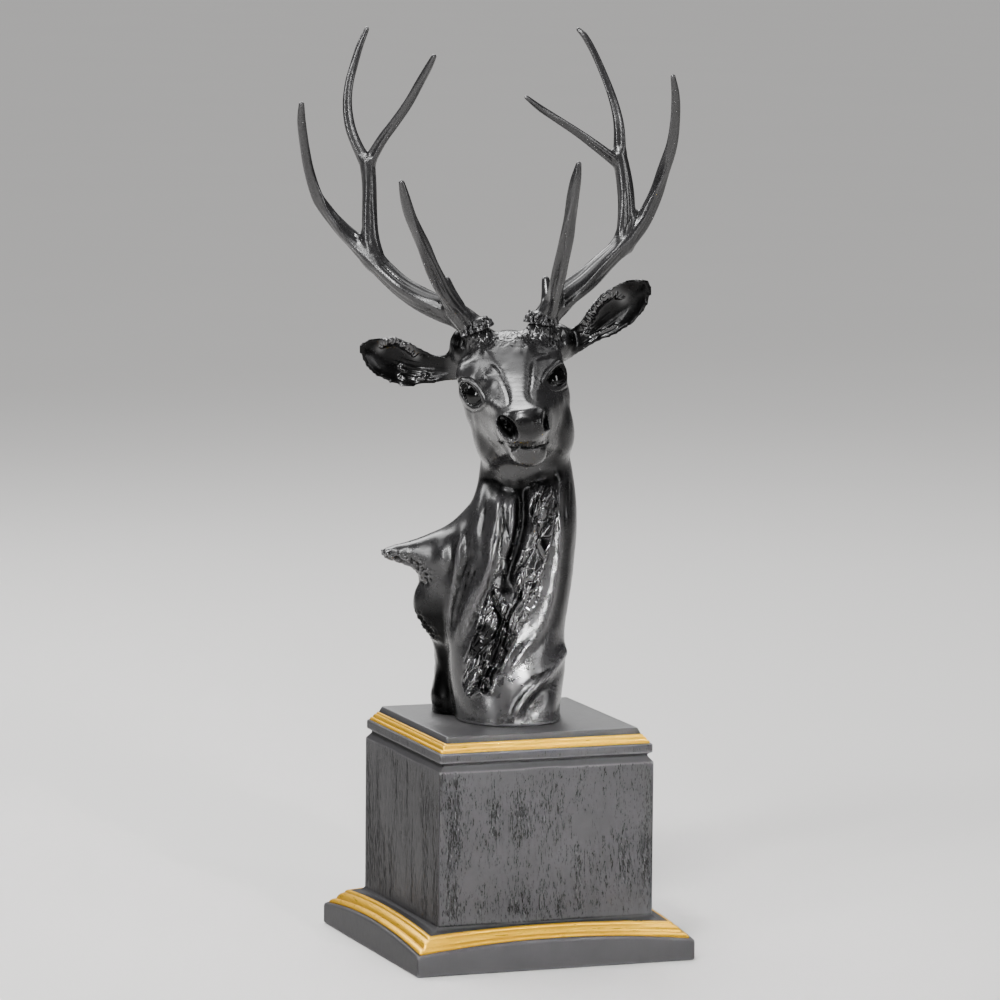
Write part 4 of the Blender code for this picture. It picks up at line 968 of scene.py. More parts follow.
def carve_ear_hair(surface):
    """Short strands laid across the ears' long tufts, like the rungs of a ladder."""
    rng = np.random.default_rng(41)
    for path, width in zip(EAR_HAIR, EAR_HAIR_WIDTHS):
        line = np.array(through(path, 8))
        steps = np.hypot(*(line[1:] - line[:-1]).T)
        run = np.concatenate([[0.0], np.cumsum(steps)])
        surface.stroke(path, 0.9, 1.1 * width, depth=EAR_DEPTH)
        for place in np.arange(0.8, run[-1], 1.65) + rng.uniform(-0.6, 0.6):
            middle = np.array([np.interp(place, run, line[:, k]) for k in (0, 1)])
            ahead = np.array([np.interp(min(place + 1, run[-1]), run, line[:, k]) for k in (0, 1)]) - middle
            way = ahead / max(np.hypot(*ahead), 1e-6)
            turn = rng.uniform(0.55, 1.75)
            rung = np.array([way[0] * cos(turn) - way[1] * sin(turn),
                             way[0] * sin(turn) + way[1] * cos(turn)])
            half = width * rng.uniform(0.35, 1.05)
            rise = rng.uniform(0.7, 1.5)
            thick = rng.uniform(0.45, 0.80)
            surface.stroke([middle - half * rung, middle + half * rung],
                           rise, thick, depth=EAR_DEPTH, ends=0.3)
    # Long soft furrows inside each ear
    for span, shift in ((EAR_SPANS["left"], 6.0), (EAR_SPANS["right"], 5.5)):
        for lane in (-1.0, -0.45, 0.15, 0.7):
            path = [(x, z + lane * shift) for x, z in span[:4]]
            surface.stroke(path, 0.45, 0.9, depth=EAR_DEPTH, ends=0.4)


def carve_foot(surface):
    """A low rounded lip where the bust stands on the plinth, pushed out level."""
    level = surface.normals * (1, 1, 0)
    level /= np.maximum(np.linalg.norm(level, axis=1), 1e-6)[:, None]
    above = surface.points[:, 2] - 1.0
    form = np.exp(-(above / 1.5) ** 2) * (np.abs(above) < 6)
    surface.moves += (0.8 * form)[:, None] * level


def carve_waves(surface, height):
    """The slow unevenness of a casting."""
    slow = Lattice(51).read(surface.points, 13.0)
    quick = Lattice(52).read(surface.points, 5.0)
    surface.raise_by(height * (slow + 0.35 * quick))


# Paths of the places with painted shade, darker and less shiny: path, reach, border, depth, strength
PAINTED_SHADE_PLACES = [
    ([(-4.6, 192.4), (0.0, 186.6)], 3.0, 1.2, (-130, -55), 1.0),
    ([(22.3, 202.0), (23.0, 190.0)], 1.5, 0.6, (-130, -55), 1.0),
    ([(4.0, 192), (12, 190), (18, 194)], 6.5, 5.0, (-130, -60), 0.6),
    ([(3.0, 204), (4.0, 213)], 5.0, 9.0, FACE_DEPTH, 0.28),
    (MOUTH[1:9], 0.45, 0.6, MOUTH_DEPTH, 0.9),
    ([(-37.0, 248.5), (-33.8, 240.5)], 4.0, 2.5, (-40, 40), 0.9),
    ([(39.6, 249.0), (39.8, 242.0)], 3.0, 2.0, (-40, 40), 0.9),
    ([(7.0, 152), (7.3, 140), (7.2, 126), (3.4, 111), (-0.8, 96), (-2.4, 84)], 4.2, 3.0, CHEST_DEPTH, 0.97),
    ([(-13, 172), (-10, 178)], 2.5, 5.0, (-80, 20), 0.7),
    ([(-16, 158), (-9, 151), (2, 149), (16, 154), (30, 159)], 4.5, 4.0, (-21.5, 44), 0.85),
    ([(-25, 196), (-21, 176)], 6.0, 8.0, (-110, 44), 0.60),
    ([(31, 200), (33, 178), (28, 166)], 5.0, 8.0, (-110, 44), 0.60),
    ([(39, 152), (40, 122), (37, 92), (33, 62)], 3.5, 6.0, CHEST_DEPTH, 0.70)]


def paint(mesh, name, values):
    kept = mesh.attributes.new(name, "FLOAT", "POINT")
    kept.data.foreach_set("value", np.clip(values, 0, 1).astype(np.float32))


def paint_bust(mesh):
    """Where the resin is glossier, and where shade is painted on it: darker colour and less shine."""
    surface = Surface(mesh)
    across, height = surface.across, surface.height
    torn = surface.patch(TORN_CHEST, 2.0, TEAR_DEPTH)
    gloss = 0.65 * torn
    for opening in EYE_OPENINGS:
        gloss = np.maximum(gloss, surface.patch(opening, 0.8, EYE_DEPTH))
    spots = np.stack([across + 0.34 * height, 0.3 * surface.points[:, 1], height], axis=1)
    # Painted shade in patches of the torn chest, more of it lower down
    dark = 0.9 * torn * np.clip((Lattice(19).read(spots, (5.5, 9, 17)) + 0.004 * (95 - height)) / 0.25, 0, 1)
    # Painted shade along the listed places, where the surface faces the viewer
    for path, reach, border, depth, strength in PAINTED_SHADE_PLACES:
        off = distance_to(path, across, height)[0]
        share = np.clip((reach - off) / border + 0.5, 0, 1) * surface.within(depth)
        dark = np.maximum(dark, strength * share * np.clip((0.3 - surface.normals[:, 1]) / 0.4, 0, 1))
    # Painted shade over the eyes, which keeps their balls black but for their glints
    for opening in EYE_OPENINGS:
        dark = np.maximum(dark, 0.8 * surface.patch(opening, 0.8, EYE_DEPTH))
    # Painted shade inside the ears
    for span in EAR_SPANS.values():
        off = distance_to(span, across, height)[0]
        ear = np.clip((EAR_REACH - off) / 3, 0, 1) * np.clip((np.abs(across) - 35) / 9, 0, 1)
        ear *= surface.facing * surface.within((6, 60))
        dark = np.maximum(dark, 0.85 * ear)
    # Along the strands of hair in the ears the painted shade is lifted, and they are glossier
    for path, width in zip(EAR_HAIR, EAR_HAIR_WIDTHS):
        off = distance_to(path, across, height)[0]
        near = np.exp(-(off / (1.1 * width)) ** 2) * surface.within(EAR_DEPTH)
        dark = dark * (1 - 0.9 * near)
        gloss = np.maximum(gloss, near)
    # Painted shade on the cut side at the left, below the wing
    border = -33.5 - 0.13 * height
    side = np.clip((border - across) / 2.5 + 0.5, 0, 1) * np.clip((84 - height) / 18, 0, 1)
    dark = np.maximum(dark, 0.95 * side * (surface.normals[:, 1] < 0.5) * (height < 100))
    paint(mesh, "gloss", gloss)
    paint(mesh, "dark", dark)


def bust_mesh(settings):
    """The bust in its own millimetres: its forms fused, carved coarsely, refined and carved finely."""
    shape = bmesh.new()
    skull(shape)
    jaw(shape)
    neck(shape)
    withers(shape)
    nape(shape)
    for side in ("left", "right"):
        pedicle(shape, side)
        ear(shape, side)
    grain = settings.grain / BUST_UNIT
    mesh = fused(as_mesh("bust", shape), grain, 5)
    surface = Surface(mesh)
    carve_face(surface)
    carve_neck(surface)
    carve_back(surface)
    mesh = fused(surface.apply(), grain, 1)
    mesh = refined(mesh, fine_parts, 2)
    surface = Surface(mesh)
    carve_waves(surface, settings.waviness / BUST_UNIT)
    carve_chest_folds(surface)
    carve_torn_rims(surface)
    carve_foot(surface)
    mesh = refined(surface.apply(), finest_parts, 1)
    surface = Surface(mesh)
    carve_torn_chest(surface, settings.torn_depth / BUST_UNIT)
    carve_muzzle(surface)
    carve_lips(surface)
    carve_hair(surface, settings.curl_height / BUST_UNIT)
    carve_ear_hair(surface)
    surface = Surface(surface.apply())
    for opening in EYE_OPENINGS:
        carve_eye(surface, opening)
    mesh = surface.apply()
    mesh = cut_flat(mesh, (0, 0, 0), (0, 0, -1))
    paint_bust(mesh)
    return mesh


# Antlers: along each branch, the middle and the radius
ANTLERS = {
    "left": {
        "beam": [(-21.5, 12, 250, 8.6), (-32.5, 13, 259.5, 9.0), (-43.6, 17, 264.5, 9.2),
                 (-60, 24, 270.8, 9.2), (-74.5, 31, 279.2, 8.3), (-91.7, 38, 294.8, 7.8),
                 (-102.3, 41, 304.9, 6.8), (-112.8, 42, 314.9, 5.8), (-125.9, 41, 332.8, 4.8),
                 (-132.4, 37, 349.4, 4.3), (-135.6, 32, 366, 3.9), (-137.7, 26, 384.5, 3.3),
                 (-137.6, 21, 396.5, 2.2)],
        "stem": [(-90.4, 38, 295, 7.5), (-93.2, 39, 310.4, 6.4), (-94.0, 41, 326.6, 5.7),
                 (-94.1, 43, 342.7, 5.3), (-95.2, 44, 358, 5.4)],
        "outer": [(-94.8, 44, 355, 5.0), (-102.8, 46, 370.5, 4.4), (-106.8, 48, 381.4, 4.2),
                  (-108.6, 50, 394.3, 3.8), (-107.7, 52, 407.3, 3.5), (-104.6, 54, 420.2, 3.2),
                  (-100.8, 55, 433.2, 2.7), (-96.4, 56, 444, 1.9)],
        "inner": [(-94.8, 44, 356, 5.0), (-85.7, 40, 372.4, 4.2), (-77.3, 36, 384.4, 3.7),
                  (-68.8, 31, 397.2, 3.6), (-61, 25, 411.2, 3.3), (-55.2, 20, 421.9, 2.8),
                  (-52, 16, 428.5, 2.0)],
        "brow": [(-28, 11, 254, 7.0), (-37, 4, 266.4, 7.0), (-44.8, -5, 278.9, 6.3),
                 (-51.2, -15, 292.7, 5.8), (-56.6, -24, 306.3, 5.2), (-64.3, -35, 326.4, 4.7),
                 (-68.4, -41, 339.7, 3.9), (-71.2, -44.5, 351.2, 2.3)],
        "spur": [(-36, 14, 268, 5.0), (-40, 17, 276, 4.0), (-42.5, 19, 283.5, 2.6)]},
    "right": {
        "beam": [(18.8, 12, 255, 8.6), (25.8, 13, 265.5, 9.0), (34.2, 16, 273.1, 9.2),
                 (47.2, 24, 282.9, 9.1), (60.2, 32, 295.3, 8.2), (75.1, 38, 310, 7.2),
                 (82.9, 40, 319.7, 6.4), (88.6, 41, 330.1, 5.8), (95.6, 40, 346.6, 5.2),
                 (102, 35, 367.9, 4.7), (104.5, 28, 387.9, 4.0), (104.5, 22, 404.4, 3.2),
                 (102.6, 17, 417, 1.9)],
        "stem": [(72.5, 38, 306, 7.5), (73.7, 39, 324.9, 6.8), (72.9, 41, 341.1, 6.2), (71.1, 43, 354, 5.6),
                 (68.8, 44, 363.7, 5.3)],
        "outer": [(69.5, 44, 361, 5.2), (68.9, 46, 379.9, 4.5), (66.6, 49, 392.7, 3.8),
                  (62.5, 52, 405.5, 3.3), (57.2, 54, 418.4, 3.0), (51.2, 56, 431.3, 2.8),
                  (45.9, 57, 440.3, 2.5), (41.8, 58, 444.6, 1.9)],
        "inner": [(68.5, 43.5, 359, 4.8), (56.3, 40, 368.4, 4.2), (43.1, 34, 378.1, 3.3),
                  (29.9, 27, 386.9, 3.0), (16.9, 20, 395.7, 2.6), (8, 14, 402.8, 1.8)],
        "brow": [(21.5, 10, 259, 6.5), (26.4, 2, 272.4, 6.2), (28.7, -9, 286.4, 5.8), (33, -22, 306.9, 5.3),
                 (35.9, -33, 327.1, 5.0), (38.2, -39, 341.7, 4.7), (40, -43, 353.6, 4.0),
                 (41.6, -45.6, 364.2, 2.1)],
        "spur": [(23, 14, 267, 5.0), (22.5, 17, 276, 4.0), (21.6, 20, 284, 2.9)]}}


def branch(shape, rows):
    """A tube that tapers through the rows, with round ends."""
    for x, y, z, radius in (rows[0], rows[-1]):
        made = bmesh.ops.create_icosphere(shape, subdivisions=3, radius=radius)["verts"]
        bmesh.ops.translate(shape, verts=made, vec=(x, y, z))
    curve = bpy.data.curves.new("branch", "CURVE")
    curve.dimensions = "3D"
    curve.bevel_depth = 1.0
    curve.bevel_resolution = 6
    curve.use_fill_caps = True
    points = through(rows, 4)
    spline = curve.splines.new("POLY")
    spline.points.add(len(points) - 1)
    for point, (x, y, z, radius) in zip(spline.points, points):
        point.co = (x, y, z, 1.0)
        point.radius = radius
    thing = bpy.data.objects.new("branch", curve)
    bpy.context.scene.collection.objects.link(thing)
    graph = bpy.context.evaluated_depsgraph_get()
    graph.update()
    shape.from_mesh(bpy.data.meshes.new_from_object(thing.evaluated_get(graph)))
    bpy.data.objects.remove(thing)
    bpy.data.curves.remove(curve)


def burr(shape, side, bead):
    """The thick collar over the stalk, with two rows of uneven beads."""
    centre, axis = SEATS[side]
    across = axis.orthogonal().normalized()
    other = axis.cross(across)
    rings = []
    for along, radius in [(-4.0, 0.60), (-0.4, 0.84), (1.6, 0.90), (4.6, 0.84), (8.0, 0.66)]:
        rings.append([centre + along * axis + BURR_RADIUS * radius * (c * across + s * other)
                      for c, s in oval(32, 2.0)])
    loft(shape, rings)
    rng = np.random.default_rng(61 if side == "left" else 62)
    for count, along, radius, size in ((19, 1.0, 0.885, 1.0), (17, 4.2, 0.84, 0.85), (15, 7.0, 0.72, 0.65)):
        for k in range(count):
            turn = 2 * pi * (k + rng.uniform(-0.25, 0.25)) / count
            place = centre + (along + rng.uniform(-0.7, 0.7)) * axis
            way = cos(turn) * across + sin(turn) * other
            place += BURR_RADIUS * radius * (1 + 0.22 * max(0.0, -way.y)) * way
            made = bmesh.ops.create_icosphere(shape, subdivisions=2, radius=1.0)["verts"]
            stretch = rng.uniform(1.0, 1.7)
            own = bead * size * rng.uniform(0.62, 1.0)
            for vert in made:
                rise = vert.co.dot(axis)
                vert.co = place + own * (vert.co + (stretch - 1) * rise * axis)


def branch_line(rows):
    """Middles, radii and lengths along a branch, with a frame that turns as little as it can."""
    rows = np.array(through(rows, 4))
    middles = rows[:, :3]
    ways = np.gradient(middles, axis=0)
    ways /= np.linalg.norm(ways, axis=1)[:, None]
    across = np.cross(ways[0], (0.0, 1.0, 0.0))
    frames = []
    for way in ways:
        across = across - way * np.dot(across, way)
        across /= np.linalg.norm(across)
        frames.append((across, np.cross(way, across)))
    run = np.concatenate([[0.0], np.cumsum(np.linalg.norm(middles[1:] - middles[:-1], axis=1))])
    return middles, rows[:, 3], run, np.array(frames)


def places_on_branches(points, branches):
    """For each point: its place round and along its branch, the radius there, the branch, how far the tip
    and how far every other branch is."""
    best = np.full(len(points), 1e9)
    place = np.zeros((len(points), 3))
    radius = np.ones(len(points))
    which = np.zeros(len(points), int)
    left = np.zeros(len(points))
    gaps = np.full((len(branches), len(points)), 9.0)
    for number, rows in enumerate(branches):
        middles, radii, run, frames = branch_line(rows)
        for k in range(len(middles) - 1):
            step = middles[k + 1] - middles[k]
            length = np.linalg.norm(step)
            off = points - middles[k]
            t = np.clip(off @ step / length ** 2, 0, 1)
            thick = radii[k] * (1 - t) + radii[k + 1] * t
            away = off - t[:, None] * step
            gap = np.linalg.norm(away, axis=1) / thick
            gaps[number] = np.minimum(gaps[number], gap)
            near = gap < best
            best[near] = gap[near]
            across = away[near] @ frames[k, 0]
            other = away[near] @ frames[k, 1]
            place[near] = np.stack([across, other, run[k] + t[near] * length], axis=1)
            radius[near] = thick[near]
            which[near] = number
            left[near] = run[-1] - place[near, 2]
    gaps.sort(axis=0)
    return place, radius, which, left, gaps[1] - gaps[0]


def carve_branches(mesh, side, height):
    """Long uneven ridges that run out along each branch and fade towards its tip."""
    points = mesh_points(mesh)
    place, radius, which, left, apart = places_on_branches(points, list(ANTLERS[side].values()))
    turn = np.arctan2(place[:, 1], place[:, 0])
    sway = Lattice(71).read(np.stack([place[:, 2], which * 7.3, which * 0.0], axis=1), (55, 1, 1))
    waves = 1 - 2 * np.sqrt(np.sin(1.5 * turn + 1.7 * sway + 1.1 * which) ** 2 + 0.05)
    grooves = 1 - 2 * np.sqrt(np.sin(2.5 * turn - 1.3 * sway + 0.6 * which) ** 2 + 0.05)
    spots = place + np.stack([9.0 * which, 5.0 * which, 0 * which], axis=1)
    lines = Lattice(72).read(spots, (1.7, 1.7, 34))
    hairs = Lattice(73).read(spots, (0.9, 0.9, 15))
    centre, axis = SEATS[side]
    rise = (points - np.array(centre)) @ np.array(axis)
    fade = np.clip((rise - 8) / 8, 0, 1) * np.clip(left / 30, 0.1, 1) * np.clip(radius / 7, 0.3, 1.1)
    fade *= np.clip(apart / 0.5, 0, 1)
    move = height * fade * (0.70 * waves + 0.26 * grooves + 0.30 * lines + 0.05 * hairs - 0.36)
    move -= 0.18
    pitted = plates(points, 2.2, 74)[0]
    rough = np.clip((9 - rise) / 4, 0, 1)
    move += 0.5 * rough * (0.55 - pitted)
    points += move[:, None] * mesh_normals(mesh)
    mesh.vertices.foreach_set("co", points.ravel())
    mesh.update()
    kept = mesh.attributes.new("branch_place", "FLOAT_VECTOR", "POINT")
    spots[:, 2] += 31.0 * which
    kept.data.foreach_set("vector", (spots * BUST_UNIT).astype(np.float32).ravel())


def antler_mesh(side, settings):
    """One antler in the bust's millimetres: branches and burr fused, cut at its seat and carved."""
    shape = bmesh.new()
    for rows in ANTLERS[side].values():
        branch(shape, rows)
    burr(shape, side, settings.bead_size / BUST_UNIT)
    bmesh.ops.remove_doubles(shape, verts=shape.verts, dist=1e-4)
    mesh = fused(as_mesh("antler_" + side, shape), settings.grain / BUST_UNIT, 2)
    centre, axis = SEATS[side]
    mesh = cut_flat(mesh, centre + SEAT_GAP / BUST_UNIT * axis, -axis)
    carve_branches(mesh, side, settings.ridge_height / BUST_UNIT)
    return mesh


# Plinth, in metres, from its underside up; the block takes the height that the frame leaves it
FOOT_HALF = PLINTH_HIGH.x
FOOT_BAND = 0.014
FOOT_ARCH = 0.006
FOOT_GILT = 0.010
FOOT_SLOPE = 0.0135
FOOT_COVE = 0.0036
BLOCK_HALF = 0.0735
GROOVE_HEIGHT = 0.006
CAP_HALF = 0.073
CAP_BAND = 0.006
CAP_GILT = 0.0055
CAP_SLOPE = 0.0060
CAP_CHAMFER_HEIGHT = 0.0039
CAP_CHAMFER = 0.0022
CAP_LOW = PLINTH_HIGH.z - CAP_BAND - CAP_GILT - CAP_CHAMFER_HEIGHT
BLOCK_LOW = FOOT_BAND + FOOT_GILT + FOOT_COVE
BLOCK_TOP = CAP_LOW - GROOVE_HEIGHT
GRAIN_ROW = 0.00155
CORNER_STEPS = 5
FOOT_STEPS = 5
POLISH_DEPTH = 0.0012

# Shares of the slope and of the height along each gilded moulding: roll, groove, cove, bead
MOULDING = [(0.0, 0.0), (-0.03, 0.07), (0.03, 0.17), (0.13, 0.25), (0.25, 0.30), (0.32, 0.32), (0.345, 0.37),
            (0.37, 0.46), (0.44, 0.58), (0.55, 0.69), (0.69, 0.77), (0.745, 0.79), (0.76, 0.86),
            (0.81, 0.94), (0.90, 0.985), (1.0, 1.0)]

# Short runs of the profile, each from the bottom up: how far in from the wall, and the rise
FOOT_UNDER = [(0.0016, 0.0), (0.0006, 0.0003), (0.0001, 0.0010)]
FOOT_SHOULDER = [(0.0001, -0.0015), (0.0005, -0.0006), (0.0012, -0.0001), (0.0020, 0.0), (0.0028, 0.0)]
GROOVE_SWEEP = [(0.0003, 0.0002), (0.0010, 0.0010), (0.0020, 0.0022), (0.0027, 0.0031), (0.0030, 0.0036),
                (0.0031, 0.0046)]
# The same with the share of the foot's arch
FOOT_SWEEP = [(0.0003, -0.0002, 0.52), (0.0010, -0.0001, 0.46), (0.0036, 0.0004, 0.30),
              (0.0054, 0.0010, 0.17), (0.0066, 0.0018, 0.08), (0.0074, 0.0027, 0.03), (0.0079, 0.0034, 0.0)]
# The same with the weight of the grain
CAP_WALL = [(0.0012, -0.0004, 0), (0.0003, 0.0, 0), (0.0, 0.0006, 0.2), (0, 0.0016, 0.5), (0, 0.0026, 0.6),
            (0, 0.0036, 0.5), (0, 0.0046, 0.3), (0.0002, 0.0054, 0), (0.0008, 0.0059, 0), (0.0014, 0.0060, 0)]
# Shares of the chamfer round the top
CAP_EDGE = [(0.04, 0.02), (0.16, 0.16), (0.70, 0.86), (0.80, 0.94), (0.92, 0.99), (1.05, 1.0)]

# Knots in the wood of the four faces, front first: place along the face, height, reach
KNOTS = [[(0.0245, 0.088, 0.011), (-0.052, 0.056, 0.008)],
         [(-0.030, 0.070, 0.009)],
         [(0.012, 0.095, 0.010), (-0.044, 0.060, 0.007)],
         [(0.034, 0.064, 0.010)]]


def plinth_rows():
    """Half width, height, arch, gilding and grain of each ring."""
    rows = [(FOOT_HALF - inset, rise, 0, 0, 0) for inset, rise in FOOT_UNDER]
    for k in range(FOOT_STEPS + 1):
        share = k / FOOT_STEPS
        rows.append((FOOT_HALF, 0.0018 + share * (FOOT_BAND - 0.0042), share * FOOT_ARCH, 0, 0))
    for inset, rise in FOOT_SHOULDER:
        rows.append((FOOT_HALF - inset, FOOT_BAND + rise, FOOT_ARCH, 0, 0))
    start = FOOT_HALF - 0.0030
    for inset, rise in MOULDING:
        arch = FOOT_ARCH * (1 - 0.45 * rise)
        rows.append((start - inset * (FOOT_SLOPE - 0.0030), FOOT_BAND + 0.0002 + rise * (FOOT_GILT - 0.0002),
                     arch, 1, 0))
    edge = FOOT_HALF - FOOT_SLOPE
    top = FOOT_BAND + FOOT_GILT
    for inset, rise, arch in FOOT_SWEEP:
        rows.append((edge - inset, top + rise, arch * FOOT_ARCH, 0, 0))
    count = round((BLOCK_TOP - BLOCK_LOW) / GRAIN_ROW)
    for k in range(count + 1):
        share = k / count
        weight = min(1.0, 0.25 + 12 * share, 0.35 + 14 * (1 - share))
        rows.append((BLOCK_HALF, BLOCK_LOW + share * (BLOCK_TOP - BLOCK_LOW - 0.0004), 0, 0, weight))
    for inset, rise in GROOVE_SWEEP:
        rows.append((BLOCK_HALF - inset, BLOCK_TOP + rise, 0, 0, 0))
    for inset, rise, weight in CAP_WALL:
        rows.append((CAP_HALF - inset, CAP_LOW + rise, 0, 0, weight))
    for inset, rise in MOULDING:
        rows.append((CAP_HALF - 0.0015 - inset * (CAP_SLOPE - 0.0015), CAP_LOW + CAP_BAND + 0.0001
                     + rise * (CAP_GILT - 0.0001), 0, 1, 0))
    edge = CAP_HALF - CAP_SLOPE
    top = CAP_LOW + CAP_BAND + CAP_GILT
    for inset, rise in CAP_EDGE:
        rows.append((edge - inset * CAP_CHAMFER, top + rise * CAP_CHAMFER_HEIGHT, 0, 0, 0))
    rows.append((edge - 0.0060, top + CAP_CHAMFER_HEIGHT, 0, 0, 0))
    return rows


def square_ring(half, height, arch, steps, radius):
    """A square with rounded corners, whose sides rise in their middle."""
    ring = []
    straight = half - radius
    for quarter in range(4):
        side = [(-straight + 2 * straight * k / steps, -half) for k in range(steps)]
        for k in range(CORNER_STEPS):
            turn = pi / 2 * k / CORNER_STEPS
            side.append((straight + radius * sin(turn), -straight - radius * cos(turn)))
        for x, y in side:
            lift = arch * max(0.0, 1 - (x / half) ** 2)
            for _ in range(quarter):
                x, y = -y, x
            ring.append(Vector((x, y, height + lift)))
    return ring


def grain_pits(along, height, face):
    """How deep the wood is pitted at places of one face, from 0 to 1."""
    spots = np.stack([along, height, np.full(len(along), 0.4 * face)], axis=1)
    warp = 0.0030 * Lattice(81 + face).read(spots, (0.024, 0.060, 1.0))
    warp += 0.0009 * Lattice(91 + face).read(spots, (0.009, 0.020, 1.0))
    calm = np.ones(len(along))
    for place, level, reach in KNOTS[face]:
        dx, dz = along - place, (height - level) / 1.75
        near = np.exp(-((dx ** 2 + dz ** 2) / reach ** 2) ** 1.4)
        warp -= 0.80 * dx * near
        calm *= 1 - np.exp(-((dx ** 2 + dz ** 2) / (0.62 * reach) ** 2) ** 2)
    lanes = np.stack([along + warp, 0.25 * height, np.full(len(along), 0.4 * face)], axis=1)
    crowd = np.clip(0.60 + 1.1 * Lattice(101 + face).read(lanes, (0.0055, 0.05, 1.0)), 0.40, 1.0)
    crowd *= np.clip(0.85 + 0.8 * Lattice(105 + face).read(spots, (0.030, 0.032, 1.0)), 0.35, 1.0)
    spots[:, 0] += warp
    strokes = Lattice(111 + face).read(spots, (0.00125, 0.0052, 1.0))
    short = Lattice(121 + face).read(spots, (0.0010, 0.0026, 1.0))
    depth = np.clip((0.75 * strokes + 0.5 * short) * 1.9 - 0.42 + 0.75 * crowd, 0, 1)
    return depth * crowd * calm, crowd * calm


def cut_grain(points, weight, settings):
    """Cuts the grain into the four faces; how pitted and how crowded with pores each point then is."""
    pitted = np.zeros(len(points))
    crowded = np.zeros(len(points))
    rim = BLOCK_HALF - settings.corner_radius
    for face in range(4):
        turn = face * pi / 2
        along = points[:, 0] * cos(turn) + points[:, 1] * sin(turn)
        out = points[:, 0] * sin(turn) - points[:, 1] * cos(turn)
        on = (weight > 0) & (out > rim - 0.002) & (np.abs(along) < rim + 0.0004)
        border = np.clip((rim - np.abs(along[on])) / 0.002, 0, 1)
        pits, crowd = grain_pits(along[on], points[on, 2], face)
        pitted[on] = weight[on] * border * pits
        crowded[on] = weight[on] * crowd
        spots = np.stack([along[on], points[on, 2], np.zeros(on.sum())], axis=1)
        waves = 0.00025 * Lattice(131 + face).read(spots, 0.022)
        inward = settings.grain_depth * weight[on] * border * pits + np.clip(waves, 0, 1)
        points[on, 0] -= inward * sin(turn)
        points[on, 1] += inward * cos(turn)
    return pitted, crowded


def plinth_mesh(settings):
    """The plinth in one skin, with its grain cut into the four faces."""
    rows = plinth_rows()
    shape = bmesh.new()
    gilding = shape.verts.layers.float.new("gilt")
    graining = shape.verts.layers.float.new("grain")
    rings = [square_ring(half, height, arch, settings.side_steps, settings.corner_radius)
             for half, height, arch, _, _ in rows]
    for loop, row in zip(loft(shape, rings), rows):
        for vert in loop:
            vert[gilding] = row[3]
            vert[graining] = row[4]
    mesh = as_mesh("plinth", shape)
    points = mesh_points(mesh)
    weight = np.empty(len(points), np.float32)
    mesh.attributes["grain"].data.foreach_get("value", weight)
    pitted, crowded = cut_grain(points, weight, settings)
    soft = (weight == 0) & (points[:, 2] > 0.002) & (points[:, 2] < FOOT_BAND - 0.002)
    points[soft, 2] += 0.0002 * Lattice(141).read(points[soft], 0.012)
    mesh.vertices.foreach_set("co", points.ravel())
    mesh.update()
    # The pits' depth, for the painted shade in them
    paint(mesh, "pits", pitted)
    paint(mesh, "crowding", crowded)
    paint(mesh, "polish", 1000 * (points[:, 2] - PLINTH_HIGH.z + POLISH_DEPTH))
    return mesh


def add_node(tree, kind, inputs=None, **settings):
    """A node with its settings; its inputs are values or the sockets that feed them."""
    made = tree.nodes.new(kind)
    for name, value in settings.items():
        setattr(made, name, value)
    for name, value in (inputs or {}).items():
        if isinstance(value, bpy.types.NodeSocket):
            tree.links.new(value, made.inputs[name])
        else:
            made.inputs[name].default_value = value
    return made


def maths(tree, operation, first, second=0.0, third=0.0):
    return add_node(tree, "ShaderNodeMath", {0: first, 1: second, 2: third}, operation=operation).outputs[0]


def scaled(tree, colour, share):
    made = add_node(tree, "ShaderNodeVectorMath", {0: colour, "Scale": share}, operation="SCALE")
    return made.outputs[0]


def shade(colour, share=1.0):
    return (*[min(1.0, share * part) for part in colour], 1.0)


def mixed(tree, share, first, second):
    made = add_node(tree, "ShaderNodeMix", {0: share, 6: first, 7: second}, data_type="RGBA")
    return made.outputs[2]


def ramped(tree, value, low, high):
    """The value's place between two levels, eased, from 0 to 1."""
    made = add_node(tree, "ShaderNodeMapRange", {"Value": value, "From Min": low, "From Max": high},
                    interpolation_type="SMOOTHSTEP")
    return made.outputs["Result"]


def noise(tree, vector, scale, detail=3.0, roughness=0.5, distortion=0.0):
    made = add_node(tree, "ShaderNodeTexNoise", {"Vector": vector, "Scale": scale, "Detail": detail,
                                                 "Roughness": roughness, "Distortion": distortion})
    return made.outputs["Fac"]


def new_group(name, inputs, outputs):
    """An empty node group with named sockets, and its way in and way out."""
    made = bpy.data.node_groups.new(name, "ShaderNodeTree")
    for title, kind, value in inputs:
        socket = made.interface.new_socket(title, in_out="INPUT", socket_type=kind)
        socket.default_value = value
    for title, kind in outputs:
        made.interface.new_socket(title, in_out="OUTPUT", socket_type=kind)
    return made, made.nodes.new("NodeGroupInput").outputs, made.nodes.new("NodeGroupOutput").inputs


